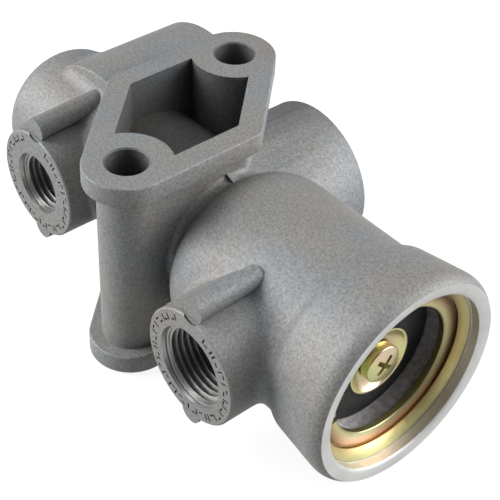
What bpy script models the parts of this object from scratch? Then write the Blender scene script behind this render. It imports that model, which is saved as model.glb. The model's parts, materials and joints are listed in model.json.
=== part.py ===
"""Tractor protection valve for a truck air system, modelled piece by piece.

Lengths below are in millimetres and the objects are built in metres. The origin lies on the foot's
underside, midway between the two mounting bolts. +Z points up to the mounting flange, and +X along
the main bore to its open end.
"""
import math

import bmesh
import bpy
from mathutils import Matrix, Vector

MM = 0.001

# Clearance between pieces that touch or slide on each other
GAP = 0.3

# How far joined shapes run into each other, and cutters past a face
OVERLAP = 1.0

# Mounting flange, foot and bolt posts
BODY_HEIGHT = 50.0
AXIS_HEIGHT = 23.3
BOLT_X = 8.6
BOLT_Y = 21.0
BOLT_HOLE_R = 4.37
FLANGE_R = 9.13
FLANGE_THICKNESS = 4.6
FLANGE_CORNER_R = 4.5
SHORT_EDGE_ANGLE = math.radians(43.0)
POST_INSET = 2.8
POCKET_INSET = 5.0
POCKET_BOSS_R = 9.6
POCKET_CORNER_R = 1.2
POCKET_FLOOR_R = 16.6

# Closed barrel and its domed end; its outside stands a little higher than the bore
BARREL_R = 15.3
BARREL_RISE = 1.6
DOME_X = -43.2
DOME_LENGTH = 8.0

# Main cylinder with its flared rim
SHOULDER_X = 16.6
SHOULDER_RISE = 5.8
SHOULDER_LENGTH = 5.6
MAIN_WALL = 1.6
FLARE_START_X = 52.0
FLARE_NECK_RISE = 1.5
FLARE_NECK_LENGTH = 3.4
FLARE_RISE = 3.0
RIM_X = 69.6
RIM_EDGE_DROP = 1.6
RIM_EDGE_LENGTH = 3.2

# Rear housings, which run along Y
CHECK_X = -25.8
CHECK_HOUSING_R = 21.5
CHECK_FRONT_Y = -3.4
CHECK_REAR_Y = 27.9
DELIVERY_X = 8.4
DELIVERY_HOUSING_R = 16.9
DELIVERY_FRONT_Y = 1.1
DELIVERY_REAR_Y = 31.4
HOUSING_EDGE_R = 0.8

# Front port bosses, each with a rib above it and a lug below it
PORT_BOSS_R = 12.7
FRONT_PORT_1_FACE_Y = -20.9
FRONT_PORT_2_X = 39.8
FRONT_PORT_2_FACE_Y = -30.0
RIB_R = 2.8
RIB_HEIGHT = 13.9
RIB_SETBACK = 1.0
LUG_R = 2.5
LUG_DROP = 12.6
LUG_SETBACK = 0.5
LUG_LENGTH = 6.0

# Tapered pipe ports: 1/4 and 3/8 in front, 1/2 at the rear
FRONT_THREAD_1_R = 6.6
FRONT_THREAD_2_R = 8.3
REAR_THREAD_R = 10.3
FRONT_THREAD_DEPTH = 12.5
DELIVERY_THREAD_DEPTH = 15.0
CHECK_THREAD_DEPTH = 12.0
THREAD_TAPER = 1.0 / 32.0
PORT_CHAMFER = 0.8
FRONT_PASSAGE_R = 5.5
SHUTTLE_PASSAGE_R = 5.0
DELIVERY_PASSAGE_R = 7.0

# Machined main bore, from the rim inwards
MOUTH_CHAMFER = 0.7
MOUTH_R = 20.1
MOUTH_DEPTH = 2.6
CONE_LENGTH = 1.8
COVER_BORE_R = 18.2
RING_LAND = 0.4
RING_THICKNESS = 1.5
RING_GROOVE_DEPTH = 1.2
RING_INNER_R = 14.6
RING_END_GAP = math.radians(5.0)
RING_GAP_ANGLE = math.radians(105.0)
COVER_LENGTH = 8.9
PISTON_BORE_R = 16.5
PISTON_BORE_END_X = 27.0
GUIDE_BORE_R = 12.0
GUIDE_BORE_LENGTH = 9.0
CHAMBER_R = 10.5
SERVICE_SEAT_X = -10.2
SERVICE_SEAT_R = 5.5
SERVICE_SEAT_LIP = 0.9

# Exhaust cover, flap, washer and screw
COVER_WALL = 0.7
COVER_FLOOR_DEPTH = 4.9
COVER_FLOOR = 2.0
COVER_SKIRT_WALL = 2.9
COVER_BOSS_R = 4.6
COVER_BOSS_LENGTH = 10.5
COVER_WINDOW_INNER_R = 6.6
COVER_WINDOW_OUTER_R = 13.4
COVER_SPOKES = 4
COVER_SPOKE_WIDTH = 3.2
FLAP_R = 15.6
FLAP_THICKNESS = 0.9
WASHER_R = 7.75
WASHER_HEIGHT = 2.0
WASHER_THICKNESS = 0.7
WASHER_LEAN = 1.6
WASHER_LIP = 0.4
SCREW_R = 2.35
SCREW_HEAD_R = 4.42
SCREW_HEAD_HEIGHT = 2.5
SCREW_LENGTH = 11.0
SCREW_TIP_CHAMFER = 0.4

# Plunger and its seals
PLUNGER_TRAVEL = 4.0
PLUNGER_HEAD_LENGTH = 4.6
PLUNGER_SLEEVE_R = 9.6
PLUNGER_STEM_R = 6.0
SPRING_CAVITY_R = 7.4
SPRING_CAVITY_FLOOR = 2.0
STEM_STEP_X = 28.6
VALVE_FLANGE_R = 8.6
VALVE_FLANGE_THICKNESS = 2.0
O_RING_R = 0.85
SPRING_WIRE_R = 0.6
SPRING_R = 6.3
SPRING_TURNS = 7
CLOSED_TURN_GAP = 0.1

# Service valve disc on the stem's end
DISC_R = 8.0
DISC_THICKNESS = 2.5
DISC_HOLE_R = 2.5
VALVE_WASHER_R = 4.4
VALVE_WASHER_THICKNESS = 1.0
VALVE_SCREW_R = 2.1
VALVE_SCREW_HEAD_R = 3.4
VALVE_SCREW_HEAD_HEIGHT = 2.0
VALVE_SCREW_LENGTH = 11.0

# Stem guide
GUIDE_LENGTH = 6.6
GUIDE_RING_THICKNESS = 1.0
GUIDE_RING_GROOVE_DEPTH = 0.9
GUIDE_RING_INNER_R = 9.9
STEM_SEAL_OFFSET = 1.7

# Double check valve, whose bore runs along Y across the barrel
SHUTTLE_BORE_R = 8.0
SHUTTLE_FRONT_SEAT_Y = -5.5
SHUTTLE_TRAVEL = 8.7
SHUTTLE_CORE_LENGTH = 3.0
SHUTTLE_PIN_R = 3.0
SHUTTLE_SEAL_THICKNESS = 1.5
SHUTTLE_SEAL_R = 7.3
CHECK_SEAT_R = 9.2
CHECK_SEAT_LENGTH = 5.0
CHECK_SEAT_HOLE_R = 5.0

# Facets round a full turn
FINE = 44
MEDIUM = 32
COARSE = 20
SEAL_SECTION_SIDES = 6
RIB_SIDES = 16
WIRE_STEPS_PER_TURN = 12

# Worked-out sizes and places
SHORT_NORMAL = Vector((math.cos(SHORT_EDGE_ANGLE), math.sin(SHORT_EDGE_ANGLE)))
BOLT_CENTRES = (Vector((BOLT_X, -BOLT_Y)), Vector((-BOLT_X, BOLT_Y)))
RING_GROOVE_R = COVER_BORE_R + RING_GROOVE_DEPTH
MAIN_R = RING_GROOVE_R + MAIN_WALL
FLARE_R = MAIN_R + FLARE_RISE
RIM_FACE_R = FLARE_R - RIM_EDGE_DROP
CONE_END_X = RIM_X - MOUTH_DEPTH - CONE_LENGTH
RING_OUTER_X = CONE_END_X - RING_LAND
RING_INNER_X = RING_OUTER_X - RING_THICKNESS
COVER_OUTER_X = RING_INNER_X - GAP
COVER_INNER_X = COVER_OUTER_X - COVER_LENGTH
COVER_SHOULDER_X = COVER_INNER_X - GAP
COVER_R = COVER_BORE_R - GAP
FLOOR_X = COVER_OUTER_X - COVER_FLOOR_DEPTH
FLAP_X = FLOOR_X + GAP
WASHER_X = FLAP_X + FLAP_THICKNESS + GAP
SCREW_HEAD_X = WASHER_X + WASHER_THICKNESS + GAP
HEAD_OUTER_X = COVER_INNER_X - GAP - PLUNGER_TRAVEL
HEAD_INNER_X = HEAD_OUTER_X - PLUNGER_HEAD_LENGTH
PISTON_R = PISTON_BORE_R - GAP
SEAL_HEAD_X = (HEAD_OUTER_X + HEAD_INNER_X) / 2.0
DISC_X = SERVICE_SEAT_X + GAP
VALVE_FLANGE_X = DISC_X + DISC_THICKNESS + GAP
GUIDE_SEAT_X = PISTON_BORE_END_X - GUIDE_BORE_LENGTH
GUIDE_X = GUIDE_SEAT_X + GAP
GUIDE_R = GUIDE_BORE_R - GAP
GUIDE_HOLE_R = PLUNGER_STEM_R + GAP
GUIDE_RING_X = GUIDE_X + GUIDE_LENGTH + GAP
SPRING_FLOOR_X = STEM_STEP_X + SPRING_CAVITY_FLOOR
CHECK_SEAT_Y = SHUTTLE_FRONT_SEAT_Y + SHUTTLE_CORE_LENGTH + 2.0 * SHUTTLE_SEAL_THICKNESS \
    + SHUTTLE_TRAVEL + 2.0 * GAP


def make_material(name, colour, roughness, metallic):
    """A Principled material in the piece's own colour."""
    material = bpy.data.materials.new(name)
    material.use_nodes = True
    shader = material.node_tree.nodes["Principled BSDF"]
    shader.inputs["Base Color"].default_value = (*colour, 1.0)
    shader.inputs["Roughness"].default_value = roughness
    shader.inputs["Metallic"].default_value = metallic
    material.diffuse_color = (*colour, 1.0)
    return material


def add_object(name, mesh_builder, material=None, smooth_angle=35.0):
    """Turn a finished bmesh into a named object at the origin."""
    bmesh.ops.recalc_face_normals(mesh_builder, faces=mesh_builder.faces)
    mesh = bpy.data.meshes.new(name)
    mesh_builder.to_mesh(mesh)
    mesh_builder.free()
    mesh.shade_smooth()
    mesh.set_sharp_from_angle(angle=math.radians(smooth_angle))
    if material is not None:
        mesh.materials.append(material)
    thing = bpy.data.objects.new(name, mesh)
    bpy.context.collection.objects.link(thing)
    return thing


def cutter(thing):
    """Mark an object as a construction shape that isn't a piece."""
    thing.hide_render = True
    thing.hide_viewport = False
    thing.display_type = "WIRE"
    return thing


def combine(target, tool, operation):
    """Join or cut the target with a construction shape."""
    modifier = target.modifiers.new(tool.name, "BOOLEAN")
    modifier.operation = operation
    modifier.object = cutter(tool)
    modifier.solver = "EXACT"
    return target


def turned(profile, axis, centre, sides, closed):
    """Spin a profile of (place along the axis, radius) into a solid.

    The axis is X or Y. A closed profile is a ring. An open one starts and ends on the axis.
    """
    shape = bmesh.new()
    verts = [shape.verts.new((place * MM, 0.0, radius * MM)) for place, radius in profile]
    edges = [shape.edges.new(pair) for pair in zip(verts, verts[1:])]
    if closed:
        edges.append(shape.edges.new((verts[-1], verts[0])))
    bmesh.ops.spin(
        shape,
        geom=verts + edges,
        cent=(0.0, 0.0, 0.0),
        axis=(1.0, 0.0, 0.0),
        dvec=(0.0, 0.0, 0.0),
        angle=2.0 * math.pi,
        steps=sides,
        use_merge=True,
    )
    bmesh.ops.remove_doubles(shape, verts=shape.verts, dist=0.001 * MM)
    if axis == "Y":
        bmesh.ops.rotate(shape, verts=shape.verts, matrix=Matrix.Rotation(math.pi / 2.0, 3, "Z"))
    bmesh.ops.translate(shape, verts=shape.verts, vec=Vector(centre) * MM)
    return shape


def turned_x(profile, sides=MEDIUM, closed=False):
    """A solid turned about the main axis."""
    return turned(profile, "X", (0.0, 0.0, AXIS_HEIGHT), sides, closed)


def turned_y(profile, x, height=AXIS_HEIGHT, sides=MEDIUM, closed=False):
    """A solid turned about a line along Y."""
    return turned(profile, "Y", (x, 0.0, height), sides, closed)


def rod(start, end, radius):
    """Profile of a plain rod."""
    return [(start, 0.0), (start, radius), (end, radius), (end, 0.0)]


def ring(start, end, inner, outer):
    """Profile of a plain ring, for a closed spin."""
    return [(start, inner), (start, outer), (end, outer), (end, inner)]


def seal_ring(place, radius, section=O_RING_R):
    """Profile of an O-ring of round section."""
    return [
        (place + section * math.cos(2.0 * math.pi * step / SEAL_SECTION_SIDES),
         radius + section * math.sin(2.0 * math.pi * step / SEAL_SECTION_SIDES))
        for step in range(SEAL_SECTION_SIDES)
    ]


def arc(centre, radius, start, end, steps):
    """Points of a circular arc, ends included."""
    return [
        Vector((centre[0] + radius * math.cos(start + (end - start) * step / steps),
                centre[1] + radius * math.sin(start + (end - start) * step / steps)))
        for step in range(steps + 1)
    ]


def corner_centre(edge_x, edge_reach, corner_r):
    """Centre of the round that joins a long edge to a short edge."""
    x = edge_x - corner_r
    y = (edge_reach - corner_r - SHORT_NORMAL.x * x) / SHORT_NORMAL.y
    return Vector((x, y))


def mount_outline(inset):
    """Flange outline: a parallelogram whose acute ends are round about the bolt holes."""
    end_r = FLANGE_R - inset
    corner_r = FLANGE_CORNER_R - inset
    near, far = BOLT_CENTRES
    corner = corner_centre(near.x + end_r, far.dot(SHORT_NORMAL) + end_r, corner_r)
    points = arc(near, end_r, SHORT_EDGE_ANGLE - math.pi, 0.0, 14)
    points += arc(corner, corner_r, 0.0, SHORT_EDGE_ANGLE, 5)
    points += arc(far, end_r, SHORT_EDGE_ANGLE, math.pi, 14)
    points += arc(-corner, corner_r, math.pi, math.pi + SHORT_EDGE_ANGLE, 5)
    return points


def pocket_outline():
    """Parallelogram of the flange's pocket, before its ends are cut round the bolt bosses."""
    near, far = BOLT_CENTRES
    edge_x = near.x + FLANGE_R - POCKET_INSET
    reach = far.dot(SHORT_NORMAL) + FLANGE_R - POCKET_INSET
    corner = corner_centre(edge_x, reach, POCKET_CORNER_R)
    sharp_y = (-reach - SHORT_NORMAL.x * edge_x) / SHORT_NORMAL.y
    sharp = Vector((edge_x, sharp_y))
    points = arc(corner, POCKET_CORNER_R, 0.0, SHORT_EDGE_ANGLE, 4)
    points.append(-sharp)
    points += arc(-corner, POCKET_CORNER_R, math.pi, math.pi + SHORT_EDGE_ANGLE, 4)
    points.append(sharp)
    return points


def prism(outline, low, high):
    """Extrude an outline in the XY plane between two heights."""
    shape = bmesh.new()
    verts = [shape.verts.new((point.x * MM, point.y * MM, low * MM)) for point in outline]
    base = shape.faces.new(verts)
    moved = bmesh.ops.extrude_face_region(shape, geom=[base])["geom"]
    top = [item for item in moved if isinstance(item, bmesh.types.BMVert)]
    bmesh.ops.translate(shape, verts=top, vec=(0.0, 0.0, (high - low) * MM))
    return shape


def post(centre, low, high, radius, sides=COARSE):
    """An upright cylinder."""
    return prism(arc(centre, radius, 0.0, 2.0 * math.pi, sides)[:-1], low, high)


def box(low, high):
    """An upright box between two corners."""
    outline = [Vector((low[0], low[1])), Vector((high[0], low[1])),
               Vector((high[0], high[1])), Vector((low[0], high[1]))]
    return prism(outline, low[2], high[2])


def rounded_end(start, end, radius, edge):
    """Profile of a rod from start to end with a rounded edge at its end."""
    rounding = [
        (end - edge + edge * math.sin(math.pi / 2.0 * step / 4),
         radius - edge + edge * math.cos(math.pi / 2.0 * step / 4))
        for step in range(5)
    ]
    return [(start, 0.0), (start, radius)] + rounding + [(end, 0.0)]


def barrel_profile():
    """Barrel with its domed closed end, run into the main cylinder."""
    dome = [
        (DOME_X - DOME_LENGTH * math.cos(math.pi / 2.0 * step / 8),
         BARREL_R * math.sin(math.pi / 2.0 * step / 8))
        for step in range(9)
    ]
    return dome + [(PISTON_BORE_END_X, BARREL_R), (PISTON_BORE_END_X, 0.0)]


def main_profile():
    """Main cylinder: rounded shoulder, straight wall, flare and rounded rim edge."""
    shoulder = [
        (SHOULDER_X + SHOULDER_LENGTH * (1.0 - math.cos(math.pi / 2.0 * step / 4)),
         MAIN_R - SHOULDER_RISE * (1.0 - math.sin(math.pi / 2.0 * step / 4)))
        for step in range(5)
    ]
    neck = [
        (FLARE_START_X + FLARE_NECK_LENGTH * step / 4,
         MAIN_R + FLARE_NECK_RISE * (1.0 - math.cos(math.pi * step / 4)) / 2.0)
        for step in range(5)
    ]
    edge = [
        (RIM_X - RIM_EDGE_LENGTH + RIM_EDGE_LENGTH * math.sin(math.pi / 2.0 * step / 4),
         RIM_FACE_R + RIM_EDGE_DROP * math.cos(math.pi / 2.0 * step / 4))
        for step in range(5)
    ]
    return [(SHOULDER_X, 0.0)] + shoulder + neck + edge + [(RIM_X, 0.0)]


def main_bore_profile():
    """Everything machined from the open end, as one cutter turned about the main axis."""
    lip_x = SERVICE_SEAT_X - SERVICE_SEAT_LIP
    guide_groove_r = GUIDE_BORE_R + GUIDE_RING_GROOVE_DEPTH
    guide_groove_x = GUIDE_RING_X - GAP / 2.0
    return [
        (RIM_X + OVERLAP, 0.0),
        (RIM_X + OVERLAP, MOUTH_R + MOUTH_CHAMFER + OVERLAP),
        (RIM_X - MOUTH_CHAMFER, MOUTH_R),
        (RIM_X - MOUTH_DEPTH, MOUTH_R),
        (CONE_END_X, COVER_BORE_R),
        (RING_OUTER_X + GAP / 2.0, COVER_BORE_R),
        (RING_OUTER_X + GAP / 2.0, RING_GROOVE_R),
        (RING_INNER_X - GAP / 2.0, RING_GROOVE_R),
        (RING_INNER_X - GAP / 2.0, COVER_BORE_R),
        (COVER_SHOULDER_X, COVER_BORE_R),
        (COVER_SHOULDER_X, PISTON_BORE_R),
        (PISTON_BORE_END_X, PISTON_BORE_R),
        (PISTON_BORE_END_X, GUIDE_BORE_R),
        (guide_groove_x + GUIDE_RING_THICKNESS + GAP, GUIDE_BORE_R),
        (guide_groove_x + GUIDE_RING_THICKNESS + GAP, guide_groove_r),
        (guide_groove_x, guide_groove_r),
        (guide_groove_x, GUIDE_BORE_R),
        (GUIDE_SEAT_X, GUIDE_BORE_R),
        (GUIDE_SEAT_X, CHAMBER_R),
        (lip_x, CHAMBER_R),
        (lip_x, SERVICE_SEAT_R + 2.0 * SERVICE_SEAT_LIP),
        (SERVICE_SEAT_X, SERVICE_SEAT_R + SERVICE_SEAT_LIP),
        (SERVICE_SEAT_X, SERVICE_SEAT_R),
        (CHECK_X + SHUTTLE_BORE_R / 2.0, SERVICE_SEAT_R),
        (CHECK_X + SHUTTLE_BORE_R / 2.0, 0.0),
    ]


def port_profile(face, inward, thread_r, depth, passage_r, end):
    """A tapered pipe port with a chamfered mouth. Inward is the sign of the way in."""
    deep_r = thread_r - depth * THREAD_TAPER
    return [
        (face - inward * OVERLAP, 0.0),
        (face - inward * OVERLAP, thread_r + PORT_CHAMFER + OVERLAP),
        (face + inward * PORT_CHAMFER, thread_r),
        (face + inward * depth, deep_r),
        (face + inward * depth, passage_r),
        (end, passage_r),
        (end, 0.0),
    ]


def build_casting(material):
    """The one-piece casting with its bores, ports, pocket and bolt holes."""
    foot_top = FLANGE_THICKNESS
    flange_low = BODY_HEIGHT - FLANGE_THICKNESS
    rib_end = -math.sqrt(MAIN_R ** 2 - (RIB_HEIGHT + RIB_R) ** 2)
    block = prism(mount_outline(POST_INSET), OVERLAP, BODY_HEIGHT - OVERLAP)
    barrel_centre = (0.0, 0.0, AXIS_HEIGHT + BARREL_RISE)
    body = add_object("valve_body", block, material)
    added = [
        ("foot_plate", prism(mount_outline(0.0), 0.0, foot_top)),
        ("flange_plate", prism(mount_outline(0.0), flange_low, BODY_HEIGHT)),
        ("barrel_solid", turned(barrel_profile(), "X", barrel_centre, MEDIUM, False)),
        ("main_solid", turned_x(main_profile(), FINE)),
        ("check_housing", turned_y(
            rounded_end(CHECK_FRONT_Y, CHECK_REAR_Y, CHECK_HOUSING_R, HOUSING_EDGE_R), CHECK_X)),
        ("delivery_housing", turned_y(
            rounded_end(DELIVERY_FRONT_Y, DELIVERY_REAR_Y, DELIVERY_HOUSING_R, HOUSING_EDGE_R), DELIVERY_X)),
        ("port_boss_1", turned_y(rod(FRONT_PORT_1_FACE_Y, 0.0, PORT_BOSS_R), CHECK_X)),
        ("port_boss_2", turned_y(
            rod(FRONT_PORT_2_FACE_Y, -PISTON_BORE_R - OVERLAP, PORT_BOSS_R), FRONT_PORT_2_X)),
        ("rib_1", turned_y(rod(FRONT_PORT_1_FACE_Y + RIB_SETBACK, CHECK_FRONT_Y + OVERLAP, RIB_R),
                           CHECK_X, AXIS_HEIGHT + RIB_HEIGHT, RIB_SIDES)),
        ("rib_2", turned_y(rod(FRONT_PORT_2_FACE_Y + RIB_SETBACK, rib_end, RIB_R),
                           FRONT_PORT_2_X, AXIS_HEIGHT + RIB_HEIGHT, RIB_SIDES)),
        ("lug_1", turned_y(rod(FRONT_PORT_1_FACE_Y + LUG_SETBACK, FRONT_PORT_1_FACE_Y + LUG_LENGTH, LUG_R),
                           CHECK_X, AXIS_HEIGHT - LUG_DROP, RIB_SIDES)),
        ("lug_2", turned_y(rod(FRONT_PORT_2_FACE_Y + LUG_SETBACK, FRONT_PORT_2_FACE_Y + LUG_LENGTH, LUG_R),
                           FRONT_PORT_2_X, AXIS_HEIGHT - LUG_DROP, RIB_SIDES)),
    ]
    for name, shape in added:
        combine(body, add_object(name, shape), "UNION")

    pocket = add_object("pocket", prism(pocket_outline(), AXIS_HEIGHT, BODY_HEIGHT + OVERLAP))
    for number, centre in enumerate(BOLT_CENTRES):
        boss = post(centre, 0.0, BODY_HEIGHT + 2.0 * OVERLAP, POCKET_BOSS_R)
        combine(pocket, add_object("pocket_boss_%d" % (number + 1), boss), "DIFFERENCE")
    floor = turned_x(rod(DOME_X, RIM_X, POCKET_FLOOR_R))
    combine(pocket, add_object("pocket_floor", floor), "DIFFERENCE")
    wall = turned_y(rod(DELIVERY_FRONT_Y, DELIVERY_REAR_Y, DELIVERY_HOUSING_R - GAP), DELIVERY_X)
    combine(pocket, add_object("pocket_wall", wall), "DIFFERENCE")
    combine(body, pocket, "DIFFERENCE")

    removed = [
        ("main_bore", turned_x(main_bore_profile())),
        ("front_port_1", turned_y(port_profile(
            FRONT_PORT_1_FACE_Y, 1.0, FRONT_THREAD_1_R, FRONT_THREAD_DEPTH, SHUTTLE_PASSAGE_R,
            SHUTTLE_FRONT_SEAT_Y + OVERLAP), CHECK_X)),
        ("front_port_2", turned_y(port_profile(
            FRONT_PORT_2_FACE_Y, 1.0, FRONT_THREAD_2_R, FRONT_THREAD_DEPTH, FRONT_PASSAGE_R,
            -PISTON_BORE_R / 2.0), FRONT_PORT_2_X)),
        ("delivery_port", turned_y(port_profile(
            DELIVERY_REAR_Y, -1.0, REAR_THREAD_R, DELIVERY_THREAD_DEPTH, DELIVERY_PASSAGE_R,
            CHAMBER_R / 2.0), DELIVERY_X)),
        ("check_port", turned_y(port_profile(
            CHECK_REAR_Y, -1.0, REAR_THREAD_R, CHECK_THREAD_DEPTH, CHECK_SEAT_R, CHECK_SEAT_Y), CHECK_X)),
        ("shuttle_bore", turned_y(
            rod(SHUTTLE_FRONT_SEAT_Y, CHECK_SEAT_Y + OVERLAP, SHUTTLE_BORE_R), CHECK_X)),
    ]
    for number, centre in enumerate(BOLT_CENTRES):
        hole = post(centre, -OVERLAP, BODY_HEIGHT + OVERLAP, BOLT_HOLE_R)
        removed.append(("bolt_hole_%d" % (number + 1), hole))
    for name, shape in removed:
        combine(body, add_object(name, shape), "DIFFERENCE")
    return body


def build_open_ring(name, material, start, thickness, inner, outer, gap_angle, gap_width):
    """A retaining ring: a turned ring with its end gap cut out."""
    thing = add_object(name, turned_x(ring(start, start + thickness, inner, outer), MEDIUM, True), material)
    reach = outer + OVERLAP
    half = math.tan(gap_width / 2.0) * reach
    low = (start - OVERLAP, -half, inner - OVERLAP)
    high = (start + thickness + OVERLAP, half, reach)
    wedge = box(low, high)
    bmesh.ops.rotate(wedge, verts=wedge.verts, matrix=Matrix.Rotation(gap_angle, 3, "X"))
    bmesh.ops.translate(wedge, verts=wedge.verts, vec=(0.0, 0.0, AXIS_HEIGHT * MM))
    combine(thing, add_object(name + "_gap", wedge), "DIFFERENCE")
    return thing


def build_cover(material):
    """Exhaust cover: a cup with a sealing skirt, a centre boss and four exhaust windows."""
    skirt_inner = COVER_R - COVER_SKIRT_WALL
    floor_back = FLOOR_X - COVER_FLOOR
    groove_x = (COVER_INNER_X + floor_back) / 2.0 + O_RING_R
    groove_half = O_RING_R + GAP
    groove_r = COVER_R - 2.0 * O_RING_R - GAP
    hole_r = SCREW_R + GAP
    profile = [
        (FLOOR_X, hole_r),
        (FLOOR_X, COVER_R - COVER_WALL),
        (COVER_OUTER_X - COVER_WALL, COVER_R - COVER_WALL),
        (COVER_OUTER_X, COVER_R - COVER_WALL / 2.0),
        (COVER_OUTER_X, COVER_R),
        (groove_x + groove_half, COVER_R),
        (groove_x + groove_half, groove_r),
        (groove_x - groove_half, groove_r),
        (groove_x - groove_half, COVER_R),
        (COVER_INNER_X, COVER_R),
        (COVER_INNER_X, skirt_inner),
        (floor_back, skirt_inner),
        (floor_back, COVER_BOSS_R),
        (FLOOR_X - COVER_BOSS_LENGTH, COVER_BOSS_R),
        (FLOOR_X - COVER_BOSS_LENGTH, hole_r),
    ]
    cover = add_object("exhaust_cover", turned_x(profile, MEDIUM, True), material)
    annulus = ring(floor_back - OVERLAP, FLOOR_X + OVERLAP, COVER_WINDOW_INNER_R, COVER_WINDOW_OUTER_R)
    windows = add_object("windows", turned_x(annulus, MEDIUM, True))
    for number in range(COVER_SPOKES // 2):
        half = COVER_SPOKE_WIDTH / 2.0
        reach = COVER_WINDOW_OUTER_R + OVERLAP
        spoke = box((floor_back - 2.0 * OVERLAP, -half, -reach), (FLOOR_X + 2.0 * OVERLAP, half, reach))
        turn = Matrix.Rotation(math.pi * (number + 0.5) / (COVER_SPOKES // 2), 3, "X")
        bmesh.ops.rotate(spoke, verts=spoke.verts, matrix=turn)
        bmesh.ops.translate(spoke, verts=spoke.verts, vec=(0.0, 0.0, AXIS_HEIGHT * MM))
        combine(windows, add_object("spoke_%d" % (number + 1), spoke), "DIFFERENCE")
    combine(cover, windows, "DIFFERENCE")
    seal = seal_ring(groove_x, COVER_R - O_RING_R)
    return cover, seal


def build_washer(material):
    """Cup washer: flat where it presses the flap, with a raised rim."""
    profile = [
        (WASHER_X, SCREW_R + GAP),
        (WASHER_X, WASHER_R - WASHER_LEAN),
        (WASHER_X + WASHER_HEIGHT - WASHER_LIP, WASHER_R),
        (WASHER_X + WASHER_HEIGHT, WASHER_R),
        (WASHER_X + WASHER_HEIGHT, WASHER_R - WASHER_THICKNESS),
        (WASHER_X + WASHER_THICKNESS, WASHER_R - WASHER_LEAN - WASHER_LIP),
        (WASHER_X + WASHER_THICKNESS, SCREW_R + GAP),
    ]
    return add_object("flap_washer", turned_x(profile, MEDIUM, True), material)


def build_flap_screw(material):
    """Pan-head screw with a cross recess."""
    top = SCREW_HEAD_X + SCREW_HEAD_HEIGHT
    profile = [
        (SCREW_HEAD_X - SCREW_LENGTH, 0.0),
        (SCREW_HEAD_X - SCREW_LENGTH, SCREW_R - SCREW_TIP_CHAMFER),
        (SCREW_HEAD_X - SCREW_LENGTH + SCREW_TIP_CHAMFER, SCREW_R),
        (SCREW_HEAD_X, SCREW_R),
        (SCREW_HEAD_X, SCREW_HEAD_R),
        (SCREW_HEAD_X + 0.45 * SCREW_HEAD_HEIGHT, SCREW_HEAD_R),
        (SCREW_HEAD_X + 0.75 * SCREW_HEAD_HEIGHT, 0.9 * SCREW_HEAD_R),
        (SCREW_HEAD_X + 0.93 * SCREW_HEAD_HEIGHT, 0.66 * SCREW_HEAD_R),
        (top, 0.3 * SCREW_HEAD_R),
        (top, 0.0),
    ]
    screw = add_object("flap_screw", turned_x(profile, COARSE), material)
    reach = 0.55 * SCREW_HEAD_R
    half = 0.14 * SCREW_HEAD_R
    for number in range(2):
        slot = box((top - 0.6 * SCREW_HEAD_HEIGHT, -half, -reach), (top + OVERLAP, half, reach))
        bmesh.ops.rotate(slot, verts=slot.verts, matrix=Matrix.Rotation(math.pi * number / 2.0, 3, "X"))
        bmesh.ops.translate(slot, verts=slot.verts, vec=(0.0, 0.0, AXIS_HEIGHT * MM))
        combine(screw, add_object("recess_%d" % (number + 1), slot), "DIFFERENCE")
    return screw


def plunger_profile():
    """Plunger: head with its seal groove, sleeve round the spring, stem and valve flange."""
    groove_half = O_RING_R + GAP
    groove_r = PISTON_R - 2.0 * O_RING_R - GAP
    hole_r = VALVE_SCREW_R + GAP
    hole_end = DISC_X - VALVE_WASHER_THICKNESS - 2.0 * GAP + VALVE_SCREW_LENGTH + OVERLAP
    return [
        (hole_end, 0.0),
        (hole_end, hole_r),
        (VALVE_FLANGE_X, hole_r),
        (VALVE_FLANGE_X, VALVE_FLANGE_R),
        (VALVE_FLANGE_X + VALVE_FLANGE_THICKNESS, VALVE_FLANGE_R),
        (VALVE_FLANGE_X + VALVE_FLANGE_THICKNESS, PLUNGER_STEM_R),
        (STEM_STEP_X, PLUNGER_STEM_R),
        (STEM_STEP_X, PLUNGER_SLEEVE_R),
        (HEAD_INNER_X, PLUNGER_SLEEVE_R),
        (HEAD_INNER_X, PISTON_R),
        (SEAL_HEAD_X - groove_half, PISTON_R),
        (SEAL_HEAD_X - groove_half, groove_r),
        (SEAL_HEAD_X + groove_half, groove_r),
        (SEAL_HEAD_X + groove_half, PISTON_R),
        (HEAD_OUTER_X, PISTON_R),
        (HEAD_OUTER_X, SPRING_CAVITY_R),
        (SPRING_FLOOR_X, SPRING_CAVITY_R),
        (SPRING_FLOOR_X, 0.0),
    ]


def build_spring(material):
    """Compression spring with closed end turns, as a tube swept along its helix."""
    start = SPRING_FLOOR_X + GAP + SPRING_WIRE_R
    end = FLOOR_X - COVER_FLOOR - GAP - SPRING_WIRE_R
    closed_pitch = 2.0 * SPRING_WIRE_R + CLOSED_TURN_GAP
    steps = SPRING_TURNS * WIRE_STEPS_PER_TURN
    open_pitch = (end - start - 2.0 * closed_pitch) / (SPRING_TURNS - 2)
    curve = bpy.data.curves.new("plunger_spring", "CURVE")
    curve.dimensions = "3D"
    curve.bevel_depth = SPRING_WIRE_R * MM
    curve.bevel_resolution = 0
    curve.use_fill_caps = True
    spline = curve.splines.new("POLY")
    spline.points.add(steps)
    for step in range(steps + 1):
        turns = step / WIRE_STEPS_PER_TURN
        closed_turns = min(turns, 1.0) + max(turns - SPRING_TURNS + 1.0, 0.0)
        place = start + closed_pitch * closed_turns + open_pitch * (turns - closed_turns)
        angle = 2.0 * math.pi * turns
        spline.points[step].co = (
            place * MM,
            SPRING_R * math.cos(angle) * MM,
            (AXIS_HEIGHT + SPRING_R * math.sin(angle)) * MM,
            1.0,
        )
    curve.materials.append(material)
    thing = bpy.data.objects.new("plunger_spring", curve)
    bpy.context.collection.objects.link(thing)
    return thing


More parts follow.
